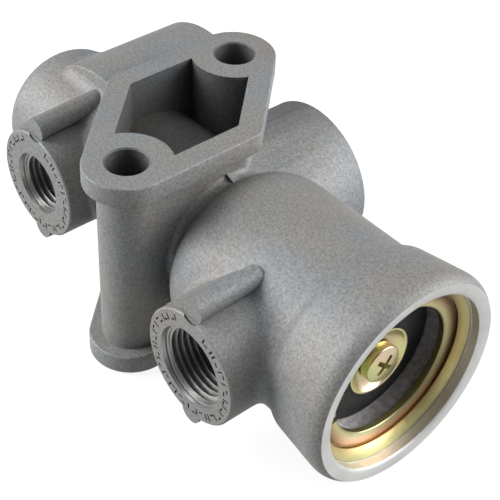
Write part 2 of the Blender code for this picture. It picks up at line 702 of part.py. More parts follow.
def build_guide(material, rubber, steel):
    """Stem guide with one seal outside and two inside, held by its own ring."""
    end = GUIDE_X + GUIDE_LENGTH
    middle = (GUIDE_X + end) / 2.0
    groove_half = O_RING_R + GAP / 2.0
    inner_groove_r = GUIDE_HOLE_R + 2.0 * O_RING_R + GAP
    outer_groove_r = GUIDE_R - 2.0 * O_RING_R - GAP
    inner = []
    for place in (end - STEM_SEAL_OFFSET, GUIDE_X + STEM_SEAL_OFFSET):
        inner += [
            (place + groove_half, GUIDE_HOLE_R),
            (place + groove_half, inner_groove_r),
            (place - groove_half, inner_groove_r),
            (place - groove_half, GUIDE_HOLE_R),
        ]
    profile = [
        (GUIDE_X, GUIDE_HOLE_R),
        (GUIDE_X, GUIDE_R),
        (middle - groove_half, GUIDE_R),
        (middle - groove_half, outer_groove_r),
        (middle + groove_half, outer_groove_r),
        (middle + groove_half, GUIDE_R),
        (end, GUIDE_R),
        (end, GUIDE_HOLE_R),
    ]
    add_object("stem_guide", turned_x(profile + inner, MEDIUM, True), material)
    stem_seal_r = GUIDE_HOLE_R + O_RING_R
    for name, place, radius in (
        ("stem_o_ring_inner", GUIDE_X + STEM_SEAL_OFFSET, stem_seal_r),
        ("stem_o_ring_outer", end - STEM_SEAL_OFFSET, stem_seal_r),
        ("guide_o_ring", middle, GUIDE_R - O_RING_R),
    ):
        add_object(name, turned_x(seal_ring(place, radius), COARSE, True), rubber)
    build_open_ring("guide_retaining_ring", steel, GUIDE_RING_X, GUIDE_RING_THICKNESS, GUIDE_RING_INNER_R,
                    GUIDE_BORE_R + GUIDE_RING_GROOVE_DEPTH - GAP, 0.0, math.radians(30.0))


def move_origin(thing, place):
    """Put a moving piece's origin on its joint axis without moving the piece."""
    point = Vector(place) * MM
    thing.data.transform(Matrix.Translation(-point))
    thing.location = point


def build_plunger_group(brass, rubber, steel):
    """Plunger, its head seal and the service valve that its stem carries."""
    pieces = [
        add_object("plunger", turned_x(plunger_profile()), brass),
        add_object("plunger_head_o_ring", turned_x(
            seal_ring(SEAL_HEAD_X, PISTON_R - O_RING_R), MEDIUM, True), rubber),
        add_object("service_valve_disc", turned_x(
            ring(DISC_X, DISC_X + DISC_THICKNESS, DISC_HOLE_R, DISC_R), COARSE, True), rubber),
    ]
    washer_x = DISC_X - GAP - VALVE_WASHER_THICKNESS
    washer = ring(washer_x, washer_x + VALVE_WASHER_THICKNESS, VALVE_SCREW_R + GAP, VALVE_WASHER_R)
    pieces.append(add_object("valve_washer", turned_x(washer, COARSE, True), steel))
    head_x = washer_x - GAP
    screw = [
        (head_x - VALVE_SCREW_HEAD_HEIGHT, 0.0),
        (head_x - VALVE_SCREW_HEAD_HEIGHT, 0.5 * VALVE_SCREW_HEAD_R),
        (head_x - 0.5 * VALVE_SCREW_HEAD_HEIGHT, VALVE_SCREW_HEAD_R),
        (head_x, VALVE_SCREW_HEAD_R),
        (head_x, VALVE_SCREW_R),
        (head_x + VALVE_SCREW_LENGTH, VALVE_SCREW_R),
        (head_x + VALVE_SCREW_LENGTH, 0.0),
    ]
    pieces.append(add_object("valve_screw", turned_x(screw, COARSE), steel))
    for thing in pieces:
        move_origin(thing, (HEAD_OUTER_X, 0.0, AXIS_HEIGHT))


def build_check_valve(brass, rubber):
    """Double check valve: the shuttle with a seal on each face, and its inserted rear seat."""
    low = SHUTTLE_FRONT_SEAT_Y + GAP
    core_low = low + SHUTTLE_SEAL_THICKNESS
    core_high = core_low + SHUTTLE_CORE_LENGTH
    high = core_high + SHUTTLE_SEAL_THICKNESS
    core = [
        (low, 0.0),
        (low, SHUTTLE_PIN_R),
        (core_low - GAP, SHUTTLE_PIN_R),
        (core_low, SHUTTLE_PIN_R + GAP),
        (core_low, SHUTTLE_BORE_R - GAP),
        (core_high, SHUTTLE_BORE_R - GAP),
        (core_high, SHUTTLE_PIN_R + GAP),
        (core_high + GAP, SHUTTLE_PIN_R),
        (high, SHUTTLE_PIN_R),
        (high, 0.0),
    ]
    pieces = [add_object("check_shuttle", turned_y(core, CHECK_X, sides=COARSE), brass)]
    seal_inner = SHUTTLE_PIN_R + GAP
    for name, start, end in (
        ("shuttle_seal_front", low, core_low - GAP),
        ("shuttle_seal_rear", core_high + GAP, high),
    ):
        seal = ring(start, end, seal_inner, SHUTTLE_SEAL_R)
        pieces.append(add_object(name, turned_y(seal, CHECK_X, sides=COARSE, closed=True), rubber))
    for thing in pieces:
        move_origin(thing, (CHECK_X, (low + high) / 2.0, AXIS_HEIGHT))

    seat_low = CHECK_SEAT_Y + GAP
    seat_high = seat_low + CHECK_SEAT_LENGTH
    seat_r = CHECK_SEAT_R - GAP
    middle = (seat_low + seat_high) / 2.0
    groove_half = O_RING_R + GAP / 2.0
    groove_r = seat_r - 2.0 * O_RING_R - GAP
    seat = [
        (seat_low, CHECK_SEAT_HOLE_R),
        (seat_low, seat_r),
        (middle - groove_half, seat_r),
        (middle - groove_half, groove_r),
        (middle + groove_half, groove_r),
        (middle + groove_half, seat_r),
        (seat_high, seat_r),
        (seat_high, CHECK_SEAT_HOLE_R),
    ]
    add_object("check_seat", turned_y(seat, CHECK_X, sides=COARSE, closed=True), brass)
    add_object("check_seat_o_ring", turned_y(
        seal_ring(middle, seat_r - O_RING_R), CHECK_X, sides=COARSE, closed=True), rubber)


def build():
    """Clear the scene and build every piece."""
    for thing in list(bpy.data.objects):
        bpy.data.objects.remove(thing, do_unlink=True)

    aluminium = make_material("cast_aluminium", (0.42, 0.42, 0.41), 0.6, 0.6)
    zinc = make_material("yellow_zinc", (0.62, 0.52, 0.27), 0.3, 0.9)
    dark = make_material("dark_coated_steel", (0.08, 0.075, 0.078), 0.6, 0.3)
    rubber = make_material("black_rubber", (0.02, 0.02, 0.02), 0.75, 0.0)
    brass = make_material("brass", (0.6, 0.45, 0.2), 0.35, 0.9)
    steel = make_material("steel", (0.5, 0.5, 0.5), 0.35, 1.0)

    build_casting(aluminium)
    build_open_ring("retaining_ring", zinc, RING_INNER_X, RING_THICKNESS, RING_INNER_R,
                    COVER_BORE_R + RING_GROOVE_DEPTH - GAP, RING_GAP_ANGLE, RING_END_GAP)
    cover, cover_seal = build_cover(dark)
    add_object("cover_o_ring", turned_x(cover_seal, MEDIUM, True), rubber)
    add_object("exhaust_flap", turned_x(
        ring(FLAP_X, FLAP_X + FLAP_THICKNESS, SCREW_R + GAP, FLAP_R), MEDIUM, True), rubber)
    build_washer(zinc)
    build_flap_screw(zinc)
    build_plunger_group(brass, rubber, steel)
    build_spring(steel)
    build_guide(brass, rubber, steel)
    build_check_valve(brass, rubber)


build()
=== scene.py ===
import json
import math

import bmesh
import bpy
from mathutils import Matrix, Vector


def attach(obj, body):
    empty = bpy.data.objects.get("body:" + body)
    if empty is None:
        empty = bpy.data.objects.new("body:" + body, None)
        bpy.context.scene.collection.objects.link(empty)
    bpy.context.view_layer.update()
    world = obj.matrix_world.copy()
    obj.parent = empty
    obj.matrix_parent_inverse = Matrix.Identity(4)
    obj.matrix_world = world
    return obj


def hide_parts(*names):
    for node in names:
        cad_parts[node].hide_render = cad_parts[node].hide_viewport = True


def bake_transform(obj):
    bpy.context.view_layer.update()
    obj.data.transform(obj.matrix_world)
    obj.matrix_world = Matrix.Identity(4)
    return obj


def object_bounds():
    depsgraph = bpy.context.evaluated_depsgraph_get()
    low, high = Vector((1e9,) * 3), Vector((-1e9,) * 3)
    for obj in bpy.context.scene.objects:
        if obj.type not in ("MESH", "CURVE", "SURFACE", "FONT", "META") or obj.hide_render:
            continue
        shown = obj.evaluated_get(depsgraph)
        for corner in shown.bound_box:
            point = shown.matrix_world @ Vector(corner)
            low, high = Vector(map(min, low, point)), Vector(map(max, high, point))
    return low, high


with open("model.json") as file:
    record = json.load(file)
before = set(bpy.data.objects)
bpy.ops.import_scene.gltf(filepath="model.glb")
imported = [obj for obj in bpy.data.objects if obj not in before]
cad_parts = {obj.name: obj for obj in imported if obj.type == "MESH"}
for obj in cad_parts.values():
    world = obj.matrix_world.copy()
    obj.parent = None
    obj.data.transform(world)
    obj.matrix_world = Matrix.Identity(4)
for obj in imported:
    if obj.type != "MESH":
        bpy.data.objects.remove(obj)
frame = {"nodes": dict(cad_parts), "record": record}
cad_box = [list(corner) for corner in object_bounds()]
nodes = frame["nodes"]


# Camera
# The photograph looks down on the valve from its open end, a little to the front, from about a
# third of a metre away. Places are in metres, as everywhere outside the pieces' own sections.
FOCAL_PIXELS = 1349.5
FRAME_PIXELS = 500.0
SENSOR_WIDTH = 36.0
CAMERA_PLACE = Vector((0.1812, -0.1446, 0.2099))
CAMERA_RIGHT = Vector((0.649439, 0.75951, 0.037055))
CAMERA_DOWN = Vector((0.513919, -0.402481, -0.75756))

lens = bpy.data.cameras.new("camera")
lens.sensor_width = SENSOR_WIDTH
lens.lens = SENSOR_WIDTH * FOCAL_PIXELS / FRAME_PIXELS
lens.clip_start = 0.01
lens.clip_end = 20.0
camera = bpy.data.objects.new("camera", lens)
bpy.context.scene.collection.objects.link(camera)
camera_back = CAMERA_RIGHT.cross(-CAMERA_DOWN)
camera.matrix_world = Matrix.Translation(CAMERA_PLACE) @ Matrix(
    (CAMERA_RIGHT, -CAMERA_DOWN, camera_back)
).transposed().to_4x4()
bpy.context.scene.camera = camera
bpy.context.scene.view_settings.view_transform = "Standard"


# Valve body
# One aluminium casting: the round forms run into each other with soft fillets, as a die leaves
# them, and the skin has the fine grain of shot blasting. Lengths are millimetres, and each finished
# mesh is brought to metres at the end.
MM = 0.001
BODY_HEIGHT = 50.0
AXIS_HEIGHT = 23.3
BOLT_CENTRES = (Vector((8.6, -21.0)), Vector((-8.6, 21.0)))
BOLT_HOLE_R = 4.37
FLANGE_R = 9.13
FLANGE_THICKNESS = 4.6
FLANGE_CORNER_R = 4.5
FLANGE_EDGE = 0.4
FLANGE_END_STEPS = 32
FLANGE_CORNER_STEPS = 8
SHORT_EDGE_ANGLE = math.radians(43.0)
SHORT_NORMAL = Vector((math.cos(SHORT_EDGE_ANGLE), math.sin(SHORT_EDGE_ANGLE)))
POST_INSET = 2.8
BLOCK_INSET = 1.0
BARREL_R = 15.3
BARREL_HEIGHT = AXIS_HEIGHT + 1.6
BARREL_END_X = 27.0
DOME_X = -43.2
DOME_LENGTH = 8.0
DOME_STEPS = 24
SHOULDER_X = 16.6
SHOULDER_LENGTH = 10.0
SHOULDER_DROP = 7.0
SHOULDER_STEPS = 20
MAIN_R = 21.0
NECK_X = 52.0
NECK_LENGTH = 3.4
NECK_RISE = 1.5
NECK_STEPS = 8
RIM_X = 69.6
RIM_EDGE_LENGTH = 3.2
RIM_FACE_RISE = 1.4
RIM_EDGE_HEIGHT = 1.6
RIM_EDGE_STEPS = 8
RIM_STOCK_LENGTH = 1.5
RIM_STOCK_R = 22.2
CHECK_X = -25.8
CHECK_AXIS = (CHECK_X, 0.0, AXIS_HEIGHT)
CHECK_FACE_Y = 27.9
DELIVERY_X = 8.4
DELIVERY_AXIS = (DELIVERY_X, 0.0, AXIS_HEIGHT)
DELIVERY_FACE_Y = 31.4
PORT_1_FACE_Y = -20.9
PORT_2_X = 39.8
PORT_2_AXIS = (PORT_2_X, 0.0, AXIS_HEIGHT)
PORT_2_FACE_Y = -30.0
BOSS_R = 12.7
SKIN_CELL = 0.36
FRONT_FILLET = 1.5
REAR_FILLET = 3.2
SMALL_FILLET = 0.5
SKIN_SHARE = 0.34
ROUND_STEPS = 96
FINE_STEPS = 128
FINEST_STEPS = 160
EDGE_STEPS = 6
TOUCHING = 0.001
WELD_DISTANCE = 0.004


def spun(profile, axis="X", centre=(0.0, 0.0, AXIS_HEIGHT), steps=ROUND_STEPS, closed=False):
    """A profile of (place along the axis, radius) spun about the axis, X, Y or Z."""
    shape = bmesh.new()
    verts = [shape.verts.new((place, 0.0, radius)) for place, radius in profile]
    edges = [shape.edges.new(pair) for pair in zip(verts, verts[1:])]
    if closed:
        edges.append(shape.edges.new((verts[-1], verts[0])))
    bmesh.ops.spin(
        shape, geom=verts + edges, cent=(0.0, 0.0, 0.0), axis=(1.0, 0.0, 0.0), dvec=(0.0, 0.0, 0.0),
        angle=math.tau, steps=steps, use_merge=True,
    )
    bmesh.ops.remove_doubles(shape, verts=shape.verts, dist=TOUCHING)
    if axis == "Y":
        bmesh.ops.rotate(shape, verts=shape.verts, matrix=Matrix.Rotation(math.pi / 2.0, 3, "Z"))
    if axis == "Z":
        bmesh.ops.rotate(shape, verts=shape.verts, matrix=Matrix.Rotation(-math.pi / 2.0, 3, "Y"))
    bmesh.ops.translate(shape, verts=shape.verts, vec=centre)
    bmesh.ops.recalc_face_normals(shape, faces=shape.faces)
    return shape


def raised(outline, low, high, edge=0.0):
    """An outline in the XY plane raised into a block, with its level edges rounded if asked."""
    shape = bmesh.new()
    base = shape.faces.new([shape.verts.new((x, y, low)) for x, y in outline])
    moved = bmesh.ops.extrude_face_region(shape, geom=[base])["geom"]
    top = [item for item in moved if isinstance(item, bmesh.types.BMVert)]
    bmesh.ops.translate(shape, verts=top, vec=(0.0, 0.0, high - low))
    bmesh.ops.recalc_face_normals(shape, faces=shape.faces)
    if edge > 0.0:
        level = [
            line for line in shape.edges if abs(line.verts[0].co.z - line.verts[1].co.z) < TOUCHING
        ]
        bmesh.ops.bevel(shape, geom=level, offset=edge, segments=3, profile=0.5, affect="EDGES")
    return shape


def arc(centre, radius, start, end, steps):
    """Points along a circular arc, ends included."""
    turn = (end - start) / steps
    angles = [start + turn * step for step in range(steps + 1)]
    return [
        (centre[0] + radius * math.cos(angle), centre[1] + radius * math.sin(angle)) for angle in angles
    ]


def rod(start, end, radius):
    """Profile of a plain rod, to be spun about its axis."""
    return [(start, 0.0), (start, radius), (end, radius), (end, 0.0)]


def rounded_rod(start, end, radius, edge):
    """Profile of a rod whose end edges are rounded."""
    near = arc((start + edge, radius - edge), edge, math.pi, math.pi / 2.0, EDGE_STEPS)
    far = arc((end - edge, radius - edge), edge, math.pi / 2.0, 0.0, EDGE_STEPS)
    return [(start, 0.0)] + near + far + [(end, 0.0)]


def quarter_turn(steps):
    """Angles from nothing to a right angle in equal steps, ends included."""
    return [math.pi / 2.0 * step / steps for step in range(steps + 1)]


def corner_centre(edge_x, reach, corner_r):
    """Centre of the round that joins a long edge of the flange to a short edge."""
    x = edge_x - corner_r
    return Vector((x, (reach - corner_r - SHORT_NORMAL.x * x) / SHORT_NORMAL.y))


def flange_outline(inset):
    """The flange's outline: a parallelogram with its acute ends round about the bolts."""
    end_r = FLANGE_R - inset
    corner_r = FLANGE_CORNER_R - inset
    near, far = BOLT_CENTRES
    corner = corner_centre(near.x + end_r, far.dot(SHORT_NORMAL) + end_r, corner_r)
    points = arc(near, end_r, SHORT_EDGE_ANGLE - math.pi, 0.0, FLANGE_END_STEPS)
    points += arc(corner, corner_r, 0.0, SHORT_EDGE_ANGLE, FLANGE_CORNER_STEPS)
    points += arc(far, end_r, SHORT_EDGE_ANGLE, math.pi, FLANGE_END_STEPS)
    points += arc(-corner, corner_r, math.pi, math.pi + SHORT_EDGE_ANGLE, FLANGE_CORNER_STEPS)
    return points


def piece_from(name, shape, *materials):
    """Give a finished bmesh, in millimetres, an object of its own."""
    mesh = bpy.data.meshes.new(name)
    shape.to_mesh(mesh)
    shape.free()
    for material in materials:
        mesh.materials.append(material)
    thing = bpy.data.objects.new(name, mesh)
    bpy.context.scene.collection.objects.link(thing)
    return thing


def joined(shapes, onto=None):
    """Several closed bodies as one mesh, with an object's own mesh if one is given."""
    whole = bmesh.new()
    if onto is not None:
        whole.from_mesh(onto.data)
    for shape in shapes:
        mesh = bpy.data.meshes.new("part")
        shape.to_mesh(mesh)
        shape.free()
        whole.from_mesh(mesh)
        bpy.data.meshes.remove(mesh)
    return whole


def bake_modifiers(thing):
    """Replace the object's mesh by what its modifiers make of it."""
    graph = bpy.context.evaluated_depsgraph_get()
    baked = bpy.data.meshes.new_from_object(thing.evaluated_get(graph), depsgraph=graph)
    old = thing.data
    thing.modifiers.clear()
    thing.data = baked
    bpy.data.meshes.remove(old)


def cut(thing, tool, operation="DIFFERENCE"):
    """Cut or join the object with a tool, which is then thrown away."""
    modifier = thing.modifiers.new(operation, "BOOLEAN")
    modifier.operation = operation
    modifier.solver = "MANIFOLD"
    modifier.material_mode = "TRANSFER"
    modifier.object = tool
    bake_modifiers(thing)
    bpy.data.objects.remove(tool)


def blend_corners(thing, cell, fillet, smoothing):
    """Melt the bodies into one skin, with a fillet of the given radius in each inner corner."""
    for outwards in (1.0, -1.0):
        skin = thing.modifiers.new("skin", "REMESH")
        skin.mode = "VOXEL"
        skin.voxel_size = cell
        offset = thing.modifiers.new("offset", "DISPLACE")
        offset.strength = outwards * fillet
        offset.mid_level = 0.0
        bake_modifiers(thing)
    smooth = thing.modifiers.new("smooth", "SMOOTH")
    smooth.factor = smoothing
    smooth.iterations = 1
    bake_modifiers(thing)


def finish_piece(thing, body=None, sharp_degrees=35.0):
    """Weld a piece, bring it to metres, shade it smooth up to its real edges, and let it ride."""
    shape = bmesh.new()
    shape.from_mesh(thing.data)
    bmesh.ops.remove_doubles(shape, verts=shape.verts, dist=WELD_DISTANCE)
    bmesh.ops.dissolve_degenerate(shape, edges=shape.edges, dist=WELD_DISTANCE)
    shape.to_mesh(thing.data)
    shape.free()
    thing.data.transform(Matrix.Scale(MM, 4))
    thing.data.shade_smooth()
    thing.data.set_sharp_from_angle(angle=math.radians(sharp_degrees))
    if body is not None:
        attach(thing, body)


def node_material(name):
    """A material with its Principled shader, ready for its own nodes."""
    material = bpy.data.materials.new(name)
    material.use_nodes = True
    return material, material.node_tree, material.node_tree.nodes["Principled BSDF"]


def object_noise(tree, scale, detail=2.0, roughness=0.5):
    """A noise pattern fixed to the piece, in its own coordinates."""
    place = tree.nodes.new("ShaderNodeTexCoord")
    noise = tree.nodes.new("ShaderNodeTexNoise")
    noise.inputs["Scale"].default_value = scale
    noise.inputs["Detail"].default_value = detail
    noise.inputs["Roughness"].default_value = roughness
    tree.links.new(place.outputs["Object"], noise.inputs["Vector"])
    return noise.outputs["Fac"]


def ramp(tree, source, stops):
    """A colour ramp over a pattern, from stops of (place, grey or colour)."""
    node = tree.nodes.new("ShaderNodeValToRGB")
    elements = node.color_ramp.elements
    while len(elements) < len(stops):
        elements.new(0.5)
    for element, (place, colour) in zip(elements, stops):
        element.position = place
        element.color = (*colour, 1.0) if isinstance(colour, tuple) else (colour, colour, colour, 1.0)
    tree.links.new(source, node.inputs["Fac"])
    return node.outputs["Color"]


def mixed(tree, kind, factor, first, second):
    """Blend two colours or patterns with a Mix node."""
    node = tree.nodes.new("ShaderNodeMix")
    node.data_type = "RGBA"
    node.blend_type = kind
    node.inputs["Factor"].default_value = factor
    tree.links.new(first, node.inputs["A"])
    tree.links.new(second, node.inputs["B"])
    return node.outputs["Result"]


def bump(tree, shader, height, strength, distance):
    """Raise a pattern on the surface; distance is in metres."""
    node = tree.nodes.new("ShaderNodeBump")
    node.inputs["Strength"].default_value = strength
    node.inputs["Distance"].default_value = distance
    tree.links.new(height, node.inputs["Height"])
    tree.links.new(node.outputs["Normal"], shader.inputs["Normal"])


def cast_aluminium(name, tone):
    """Shot-blasted aluminium: grey and matt, grained, in patches that lean to blue or brown."""
    material, tree, shader = node_material(name)
    low = 0.66 * tone
    high = 1.3 * tone
    grain = ramp(tree, object_noise(tree, 1900.0, 3.0, 0.65), [
        (0.3, (low, low * 1.005, low * 0.995)), (0.7, (high, high * 1.005, high * 0.99)),
    ])
    clouds = ramp(tree, object_noise(tree, 90.0, 3.0), [(0.3, 0.92), (0.7, 1.0)])
    patches = ramp(tree, object_noise(tree, 55.0, 3.0), [
        (0.35, (0.95, 0.995, 1.06)), (0.5, (1.0, 1.0, 1.0)), (0.65, (1.05, 1.0, 0.95)),
    ])
    tinted = mixed(tree, "MULTIPLY", 1.0, grain, patches)
    tree.links.new(mixed(tree, "MULTIPLY", 1.0, tinted, clouds), shader.inputs["Base Color"])
    shader.inputs["Roughness"].default_value = 0.62
    shader.inputs["Metallic"].default_value = 0.25
    bump(tree, shader, object_noise(tree, 2200.0, 3.0, 0.6), 0.45, 0.00008)
    return material


def machined_aluminium(name, tone, roughness):
    """Machined aluminium: brighter and smoother than the cast skin."""
    material, tree, shader = node_material(name)
    low = 0.93 * tone
    high = 1.07 * tone
    tint = ramp(tree, object_noise(tree, 150.0, 2.0), [
        (0.3, (low, low, 0.98 * low)), (0.7, (high, high, 0.98 * high)),
    ])
    tree.links.new(tint, shader.inputs["Base Color"])
    shine = ramp(tree, object_noise(tree, 900.0), [(0.3, roughness - 0.05), (0.7, roughness + 0.05)])
    tree.links.new(shine, shader.inputs["Roughness"])
    shader.inputs["Metallic"].default_value = 0.9
    bump(tree, shader, object_noise(tree, 2500.0), 0.05, 0.00002)
    return material


BANDS_START = 14.0 * MM
BANDS_END = 21.0 * MM
LOW_SIDE_START = 18.0 * MM
LOW_SIDE_END = 6.0 * MM


def bore_distance(tree):
    """Distance from the main bore's axis, from 0 where the bands start to 1 where they end."""
    place = tree.nodes.new("ShaderNodeTexCoord")
    flat = tree.nodes.new("ShaderNodeVectorMath")
    flat.operation = "MULTIPLY_ADD"
    flat.inputs[1].default_value = (0.0, 1.0, 1.0)
    flat.inputs[2].default_value = (0.0, 0.0, -AXIS_HEIGHT * MM)
    tree.links.new(place.outputs["Object"], flat.inputs[0])
    reach = tree.nodes.new("ShaderNodeVectorMath")
    reach.operation = "LENGTH"
    tree.links.new(flat.outputs["Vector"], reach.inputs[0])
    share = tree.nodes.new("ShaderNodeMapRange")
    share.inputs["From Min"].default_value = BANDS_START
    share.inputs["From Max"].default_value = BANDS_END
    tree.links.new(reach.outputs["Value"], share.inputs["Value"])
    return share.outputs["Result"]


def low_side(tree):
    """0 over most of the bore, rising to 1 at its lowest side, where the painted lit colours are mixed
    in.
    """
    place = tree.nodes.new("ShaderNodeTexCoord")
    split = tree.nodes.new("ShaderNodeSeparateXYZ")
    tree.links.new(place.outputs["Object"], split.inputs["Vector"])
    share = tree.nodes.new("ShaderNodeMapRange")
    share.inputs["From Min"].default_value = LOW_SIDE_START
    share.inputs["From Max"].default_value = LOW_SIDE_END
    tree.links.new(split.outputs["Z"], share.inputs["Value"])
    return share.outputs["Result"]


def passivation_with_painted_light(name):
    """Yellow passivation with painted shade and reflections: dark brown bands by distance from the
    bore's axis, darkest towards the corner behind the ring, and a lighter, pinker painted lit side low
    down.
    """
    material, tree, shader = node_material(name)
    distance = bore_distance(tree)
    # The upper colours are the shaded copy, with dark bands of painted shade and reflection; the lower
    # colours are the lit copy, painted lighter and pinker where light falls.
    above = ramp(tree, distance, [
        (0.07, (0.16, 0.14, 0.059)), (0.17, (0.46, 0.41, 0.21)), (0.30, (0.36, 0.28, 0.13)),
        (0.43, (0.17, 0.10, 0.036)), (0.53, (0.059, 0.024, 0.004)), (0.62, (0.24, 0.18, 0.07)),
        (0.72, (0.37, 0.29, 0.12)), (0.82, (0.34, 0.31, 0.15)), (0.865, (0.074, 0.067, 0.037)),
        (0.88, (0.19, 0.18, 0.16)),
    ])
    below = ramp(tree, distance, [
        (0.07, (0.30, 0.28, 0.13)), (0.20, (0.41, 0.40, 0.22)), (0.36, (0.61, 0.34, 0.22)),
        (0.48, (0.52, 0.30, 0.15)), (0.53, (0.22, 0.074, 0.015)), (0.62, (0.50, 0.37, 0.16)),
        (0.74, (0.44, 0.40, 0.19)), (0.84, (0.43, 0.41, 0.19)), (0.865, (0.22, 0.21, 0.089)),
        (0.88, (0.46, 0.46, 0.37)),
    ])
    node = tree.nodes.new("ShaderNodeMix")
    node.data_type = "RGBA"
    tree.links.new(low_side(tree), node.inputs["Factor"])
    tree.links.new(above, node.inputs["A"])
    tree.links.new(below, node.inputs["B"])
    tree.links.new(node.outputs["Result"], shader.inputs["Base Color"])
    shine = ramp(tree, object_noise(tree, 700.0), [(0.3, 0.32), (0.7, 0.42)])
    tree.links.new(shine, shader.inputs["Roughness"])
    shader.inputs["Metallic"].default_value = 0.9
    bump(tree, shader, object_noise(tree, 1800.0), 0.06, 0.00002)
    return material


ALUMINIUM = cast_aluminium("blasted_aluminium", 0.23)
# A darker copy of the cast skin: painted shade for the pocket, the bolt holes, the notches' sides and
# the sunk strokes.
SHADED_RECESS = cast_aluminium("recess_painted_shade", 0.095)
MACHINED = machined_aluminium("turned_aluminium", 0.62, 0.28)
TAPPED = machined_aluminium("tapped_aluminium", 0.34, 0.38)
PAINTED_BANDS = passivation_with_painted_light("mouth_painted_bands")
MOUTH = machined_aluminium("mouth_wall", 0.68, 0.42)
FACED = machined_aluminium("faced_aluminium", 0.5, 0.45)

# The round forms are spun about their axes, and a rod's figures are its start, end, radius and edge.
# The cores of the rear housings stay just inside the crisp shells that later go over them.
dome = [
    (DOME_X - DOME_LENGTH * math.cos(angle), BARREL_R * math.sin(angle))
    for angle in quarter_turn(DOME_STEPS)
]
barrel_end = [(BARREL_END_X, BARREL_R), (BARREL_END_X, 0.0)]
barrel = spun(dome + barrel_end, "X", (0.0, 0.0, BARREL_HEIGHT))
shoulder = [
    (SHOULDER_X + SHOULDER_LENGTH * (1.0 - math.cos(angle)),
     MAIN_R - SHOULDER_DROP * (1.0 - math.sin(angle)))
    for angle in quarter_turn(SHOULDER_STEPS)
]
neck = [
    (NECK_X + NECK_LENGTH * step / NECK_STEPS,
     MAIN_R + NECK_RISE * (1.0 - math.cos(math.pi * step / NECK_STEPS)) / 2.0)
    for step in range(NECK_STEPS + 1)
]
rim_edge = [
    (RIM_X - RIM_EDGE_LENGTH + RIM_EDGE_LENGTH * math.sin(angle),
     MAIN_R + RIM_FACE_RISE + RIM_EDGE_HEIGHT * math.cos(angle))
    for angle in quarter_turn(RIM_EDGE_STEPS)
]
rim_end = [(RIM_X + RIM_STOCK_LENGTH, RIM_STOCK_R), (RIM_X + RIM_STOCK_LENGTH, 0.0)]
main_cylinder = spun([(SHOULDER_X, 0.0)] + shoulder + neck + rim_edge + rim_end)
check_core = spun(rounded_rod(-3.3, 27.7, 21.4, 0.3), "Y", CHECK_AXIS)
delivery_core = spun(rounded_rod(1.2, 31.2, 16.8, 0.3), "Y", DELIVERY_AXIS)
block = raised(flange_outline(POST_INSET), BLOCK_INSET, BODY_HEIGHT - BLOCK_INSET)
boss_1 = spun(rod(-22.0, 0.0, BOSS_R), "Y", CHECK_AXIS)
boss_2 = spun(rod(-31.0, -15.0, BOSS_R), "Y", PORT_2_AXIS)
casting = piece_from("casting", joined([main_cylinder, boss_2]), ALUMINIUM)
blend_corners(casting, SKIN_CELL, FRONT_FILLET, smoothing=0.5)
rear_end = piece_from("rear_end", joined([barrel, check_core]), ALUMINIUM)
blend_corners(rear_end, SKIN_CELL, REAR_FILLET, smoothing=0.3)

# Every other form meets its neighbours in a small fillet.
whole = joined([delivery_core, block, boss_1], casting)
whole.from_mesh(rear_end.data)
whole.to_mesh(casting.data)
whole.free()
bpy.data.objects.remove(rear_end)
blend_corners(casting, SKIN_CELL, SMALL_FILLET, smoothing=0.25)
thin = casting.modifiers.new("thin", "DECIMATE")
thin.ratio = SKIN_SHARE
bake_modifiers(casting)

# The flange, the foot, the rear housings, the ribs and the lugs meet the rest in a crisp line. A
# collar tapers from the flange's edge along the longer rear housing.
collar = [(-0.7, 0.0), (-0.7, 19.3), (8.0, 16.6), (8.0, 0.0)]
delivery_housing = rounded_rod(1.1, DELIVERY_FACE_Y, 16.9, 0.5)
check_housing = rounded_rod(-3.4, CHECK_FACE_Y, 21.5, 0.35)
flange_low = BODY_HEIGHT - FLANGE_THICKNESS
crisp_forms = {
    "collar": spun(collar, "Y", DELIVERY_AXIS),
    "delivery_housing": spun(delivery_housing, "Y", DELIVERY_AXIS),
    "check_housing": spun(check_housing, "Y", CHECK_AXIS, steps=FINE_STEPS),
    "flange": raised(flange_outline(0.0), flange_low, BODY_HEIGHT, FLANGE_EDGE),
    "foot": raised(flange_outline(0.0), 0.0, FLANGE_THICKNESS, FLANGE_EDGE),
}
for name, shape in crisp_forms.items():
    cut(casting, piece_from(name, shape, ALUMINIUM), "UNION")

